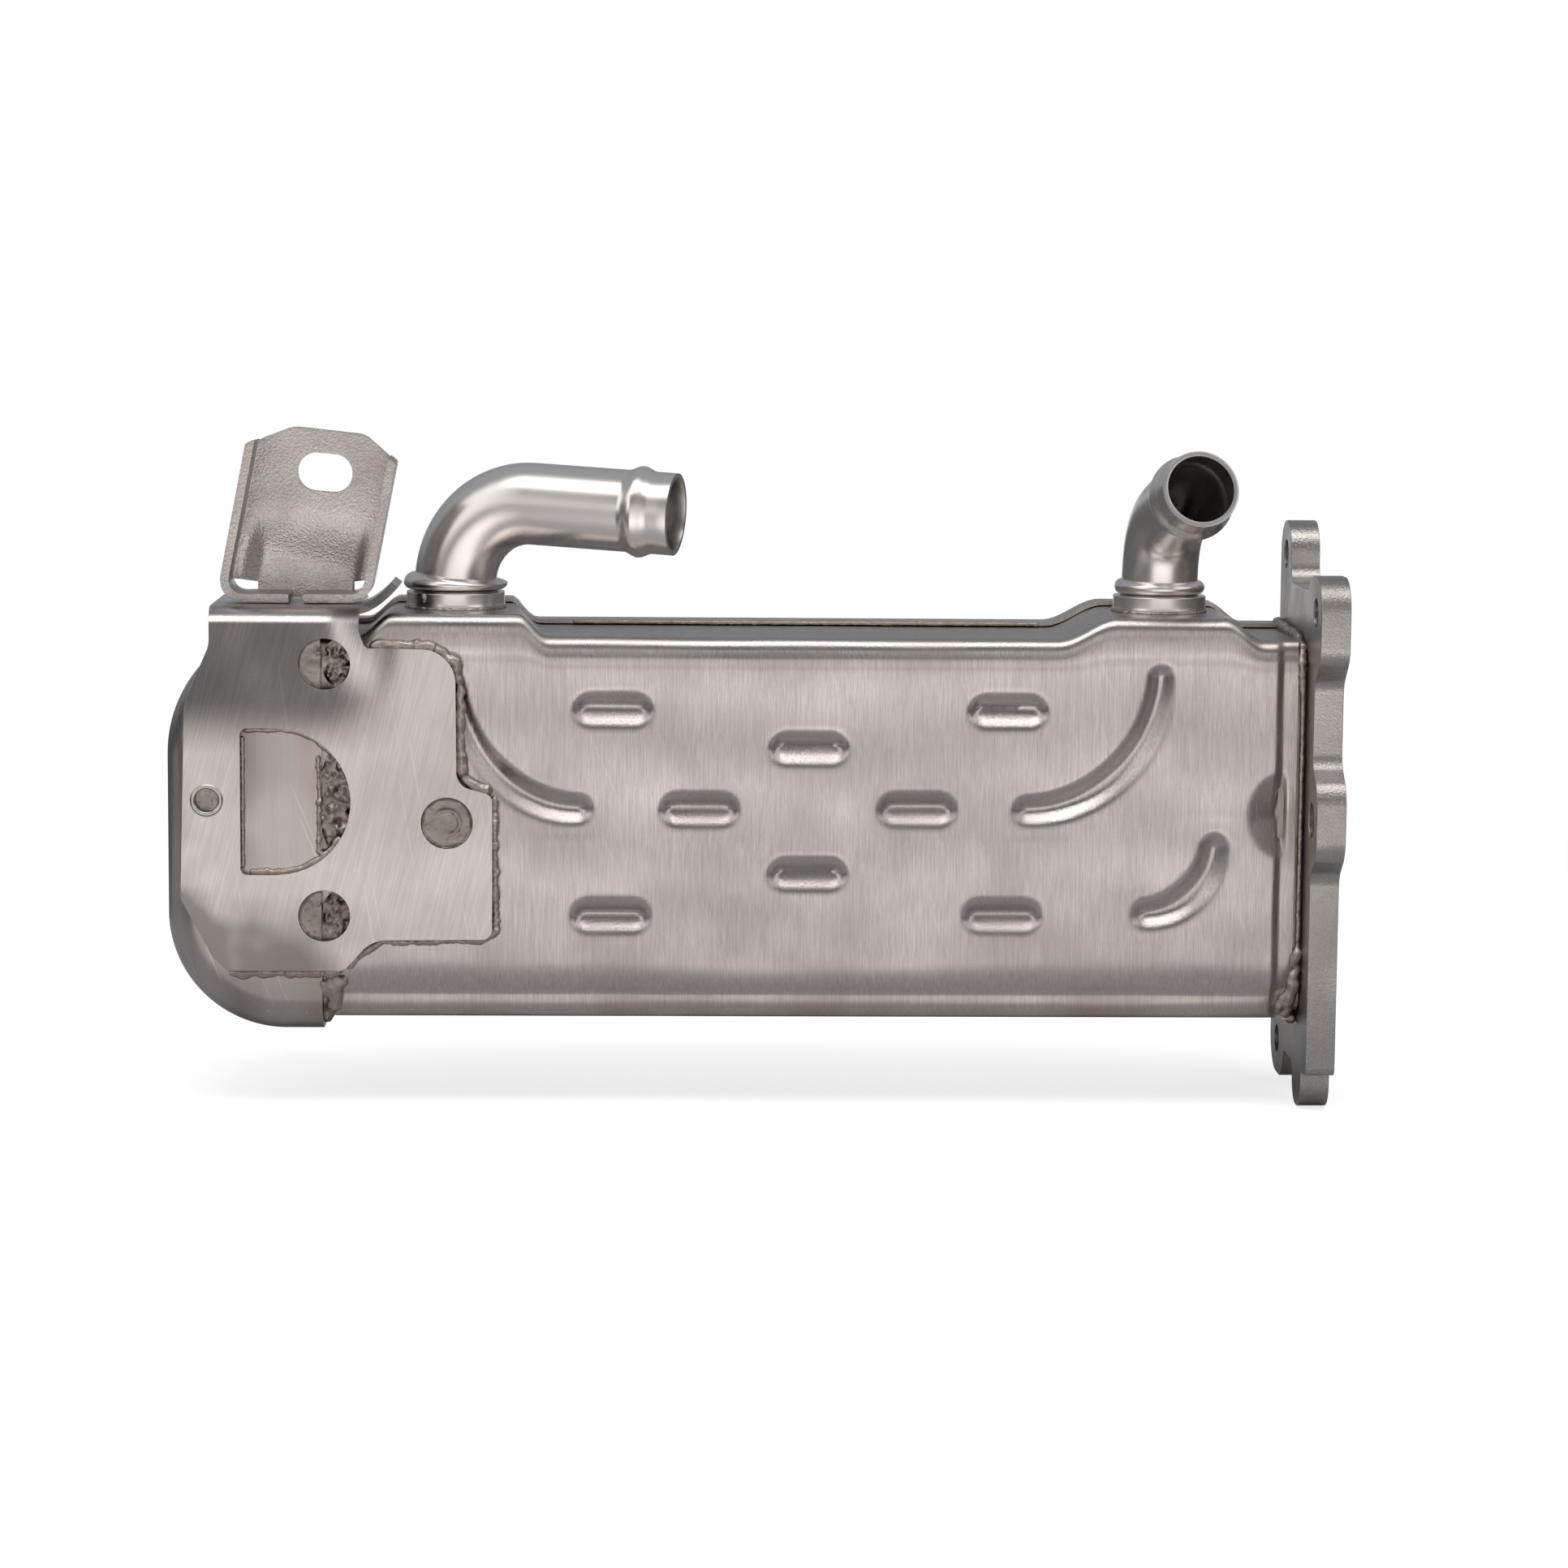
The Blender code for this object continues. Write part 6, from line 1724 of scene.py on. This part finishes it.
@dataclass
class Studio:
    """Floor, world, lamp and the camera at the photograph's angle."""

    floor_level: float = -67.2
    focal: float = 5200.0
    frame: float = 1932.0
    sensor: float = 36.0
    distance: float = 1000.0
    pitch: float = 7.0
    heading: float = 2.0
    roll: float = 0.5
    aim: Corner = (-131.3, -24.0, 11.0)
    middle: Corner = (-0.13, 0.0, 0.0)
    lamp_spot: Corner = (-0.2, -0.45, 1.2)
    lamp_size: Pair = (1.2, 0.7)
    lamp_power: float = 5.0
    lamp_tone: Colour = (1.0, 0.985, 0.97)
    glow: float = 1.6
    left_box: float = 1.25
    right_box: float = 1.1
    box_tone: Colour = (1.0, 0.98, 0.96)
    unlit: Colour = (0.08, 0.08, 0.08)
    floor_tone: Colour = (0.52, 0.52, 0.52)
    floor_glow: float = 0.74
    cool: Colour = (0.93, 0.97, 1.04)
    warm: Colour = (1.0, 0.965, 0.94)
    belt: tuple[Pair, ...] = (
        (-180.0, 0.12), (-130.0, 0.10), (-100.0, 0.18), (-87.0, 0.30), (-70.0, 0.5), (-50.0, 0.8),
        (-38.0, 1.3), (-25.0, 1.5), (-15.0, 1.35), (-7.0, 1.08), (1.0, 0.92), (8.0, 0.8), (15.0, 0.6),
        (22.0, 0.36), (38.0, 0.13), (50.0, 0.2), (56.0, 0.8), (63.0, 1.3), (77.0, 1.3), (85.0, 0.5),
        (93.0, 0.22), (119.0, 0.4), (150.0, 0.33), (180.0, 0.30),
    )

    def build(self) -> None:
        """Set up everything that isn't the object."""
        self.camera()
        self.world()
        self.floor()
        self.lamp()

    def camera(self) -> None:
        """Camera that matches the photograph's view."""
        pitch, heading, roll = (math.radians(a) for a in (self.pitch, self.heading, self.roll))
        ahead = Vector((math.sin(heading) * math.cos(pitch), math.cos(heading) * math.cos(pitch),
                        -math.sin(pitch)))
        across = Vector((math.cos(heading), -math.sin(heading), 0.0))
        up = across.cross(ahead)
        right = across * math.cos(roll) + up * math.sin(roll)
        above = up * math.cos(roll) - across * math.sin(roll)
        spot = (Vector(self.aim) - ahead * self.distance) * MM
        data = bpy.data.cameras.new("photo_camera")
        data.sensor_width = self.sensor
        data.lens = self.sensor * self.focal / self.frame
        data.clip_start = 0.01
        data.clip_end = 50.0
        item = bpy.data.objects.new("photo_camera", data)
        turn = Matrix((right, above, -ahead)).transposed().to_4x4()
        item.matrix_world = Matrix.Translation(spot) @ turn
        bpy.context.scene.collection.objects.link(item)
        bpy.context.scene.camera = item

    def world(self) -> None:
        """Room of soft boxes by direction, and a white backdrop for the camera."""
        world = bpy.data.worlds.new("studio")
        bpy.context.scene.world = world
        world.use_nodes = True
        world.node_tree.nodes.clear()
        wires = Wires(world.node_tree)
        place = wires.add("TexCoord").outputs["Generated"]
        parts = wires.add("SeparateXYZ", {0: place}).outputs
        room = wires.add("Background", {"Color": self.room(wires, parts), "Strength": self.glow})
        white = wires.add("Background", {"Color": WHITE, "Strength": 1.0})
        behind = wires.math("GREATER_THAN", parts["Y"], 0.96)
        low = wires.math("LESS_THAN", parts["Z"], 0.04)
        backdrop = wires.math("MULTIPLY", behind, low)
        path = wires.add("LightPath").outputs
        shown = wires.math("MULTIPLY", self.mirrored(wires, path), backdrop)
        pick = wires.math("MAXIMUM", shown, path["Is Camera Ray"])
        wires.add("OutputWorld", {"Surface": wires.blend(pick, room.outputs[0], white.outputs[0])})

    @staticmethod
    def mirrored(wires: Wires, path: bpy.types.NodeOutputs) -> Socket:
        """Whether a ray comes from a mirror or goes through glass."""
        return wires.math("MAXIMUM", path["Is Glossy Ray"], path["Is Transmission Ray"])

    def room(self, wires: Wires, parts: bpy.types.NodeOutputs) -> Socket:
        """Colour of the room: a belt of light over the top, with a box on either side.

        Args:
            wires: The world's wires.
            parts: X, Y and Z of the direction.

        Returns:
            The colour, as a share of the room's glow.
        """
        ahead = wires.math("MULTIPLY", parts["Y"], -1.0)
        angle = wires.math("ARCTAN2", parts["Z"], ahead)
        belt = wires.add("ValToRGB", {"Fac": wires.span(angle, -math.pi, math.pi)})
        stops = belt.color_ramp.elements
        while len(stops) < len(self.belt):
            stops.new(0.5)
        for stop, (degrees, level) in zip(stops, self.belt):
            stop.position = (degrees + 180.0) / 360.0
            tone = self.cool if degrees > 90.0 else self.warm
            stop.color = (*(min(1.0, level / self.glow * part) for part in tone), 1.0)
        side = wires.math("ABSOLUTE", parts["X"])
        edge = wires.step(side, 0.82, 0.97)
        below = wires.step(parts["Z"], 0.18, -0.05)
        low = wires.math("MULTIPLY", wires.step(side, 0.36, 0.6), below)
        colour = wires.mix(wires.math("MAXIMUM", edge, low), belt.outputs[0], (*self.unlit, 1.0))
        for sign, level in ((-1.0, self.left_box), (1.0, self.right_box)):
            way = wires.math("MULTIPLY", parts["X"], sign)
            mask = wires.step(way, 0.46, 0.62)
            for socket, start, end in ((way, 0.95, 0.82), (parts["Z"], -0.02, 0.25),
                                       (parts["Z"], 0.85, 0.6), (parts["Y"], 0.1, -0.15)):
                mask = wires.math("MULTIPLY", mask, wires.step(socket, start, end))
            bright = (*(level / self.glow * part for part in self.box_tone), 1.0)
            colour = wires.mix(mask, colour, bright)
        return colour

    def floor(self) -> None:
        """Pale floor that keeps the shadow and fades into the white backdrop."""
        Bench.clear()
        spot = (self.middle[0], self.middle[1], self.floor_level * MM)
        bpy.ops.mesh.primitive_plane_add(size=4.0, location=spot)
        item = bpy.context.object
        item.name = "floor"
        material = bpy.data.materials.new("pale floor")
        material.use_nodes = True
        tree = material.node_tree
        shader = tree.nodes["Principled BSDF"]
        shader.inputs["Base Color"].default_value = (*self.floor_tone, 1.0)
        shader.inputs["Roughness"].default_value = 0.9
        wires = Wires(tree)
        matt = shader.outputs[0]
        glow = wires.add("Emission", {"Color": WHITE, "Strength": self.floor_glow}).outputs[0]
        path = wires.add("LightPath").outputs
        lit = wires.add("AddShader", {0: matt, 1: glow}).outputs[0]
        clear = wires.add("BsdfTransparent").outputs[0]
        place = wires.add("TexCoord").outputs["Object"]
        away = wires.step(wires.vector("LENGTH", place)["Value"], 0.22, 0.55)
        across = wires.math("ABSOLUTE", wires.add("SeparateXYZ", {0: place}).outputs["Y"])
        past = wires.math("MULTIPLY", self.mirrored(wires, path), wires.step(across, 0.10, 0.24))
        unseen = wires.blend(past, matt, clear)
        faded = wires.blend(away, lit, clear)
        surface = wires.blend(path["Is Camera Ray"], unseen, faded)
        wires.feed(tree.nodes["Material Output"].inputs["Surface"], surface)
        item.data.materials.append(material)

    def lamp(self) -> None:
        """Soft lamp overhead, which draws the shadow on the floor."""
        data = bpy.data.lights.new("top_box", "AREA")
        data.shape = "RECTANGLE"
        data.size, data.size_y = self.lamp_size
        data.energy = self.lamp_power
        data.color = self.lamp_tone
        item = bpy.data.objects.new("top_box", data)
        item.location = self.lamp_spot
        ahead = Vector(self.middle) - Vector(self.lamp_spot)
        item.rotation_euler = ahead.to_track_quat("-Z", "Y").to_euler()
        bpy.context.scene.collection.objects.link(item)


class Cooler:
    """The whole cooler, piece by piece."""

    inner_nodes = ("gas_tube", "fin", "flange_header", "tank_header", "pass_divider")

    def __init__(self, frame: dict[str, object]) -> None:
        """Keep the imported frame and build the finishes."""
        self.nodes = frame["nodes"]
        self.finishes = Finishes()

    def build(self) -> None:
        """Build every piece in order."""
        steels = self.finishes
        front = JacketHalf("shell_front", Side.FRONT, rim=18.0, half_height=45.5, columns=262,
                           rows=(22, 10, 100, 10, 12))
        back = JacketHalf("shell_back", Side.BACK, rim=13.0, half_height=46.8, columns=190,
                          rows=(8, 8, 70, 8, 8))
        front.build(steels.jacket)
        back.build(steels.jacket)
        ReturnTank().build(steels.tank)
        SupportPlate().build(steels.plate)
        MountingTab().build(steels.tab)
        GasFlange().build(steels.flange)
        inlet = CoolantPipe(
            "coolant_inlet_pipe", x=-209.9, radius=9.8, ring_rise=2.7, turn=74.5, rise=-2.9,
            tip=(-157.2, -14.5, 74.1), run=35.2, pulls=(10.6, 10.9),
        )
        outlet = CoolantPipe(
            "coolant_outlet_pipe", x=-40.0, radius=9.2, ring_rise=1.7, turn=8.0, rise=19.0,
            tip=(-34.6, -32.0, 81.9), run=0.0, pulls=(20.0, 22.0),
        )
        for pipe in (inlet, outlet):
            pipe.build(steels.pipe)
            pipe.collar(steels.pipe)
        Seams().build(steels)
        self.dress_inner()

    def dress_inner(self) -> None:
        """Give the pieces inside the jacket their heat tinted steel."""
        for name, item in self.nodes.items():
            if name.startswith(self.inner_nodes):
                for slot in item.material_slots:
                    slot.material = self.finishes.inner
                LOG.info("%s: dressed", name)


def main() -> None:
    """Load the frame and build the cooler and the studio."""
    logging.basicConfig(level=logging.INFO, format="%(message)s")
    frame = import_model()
    bpy.context.scene.view_settings.view_transform = "Standard"
    Studio().build()
    Cooler(frame).build()


if __name__ == "__main__":
    main()
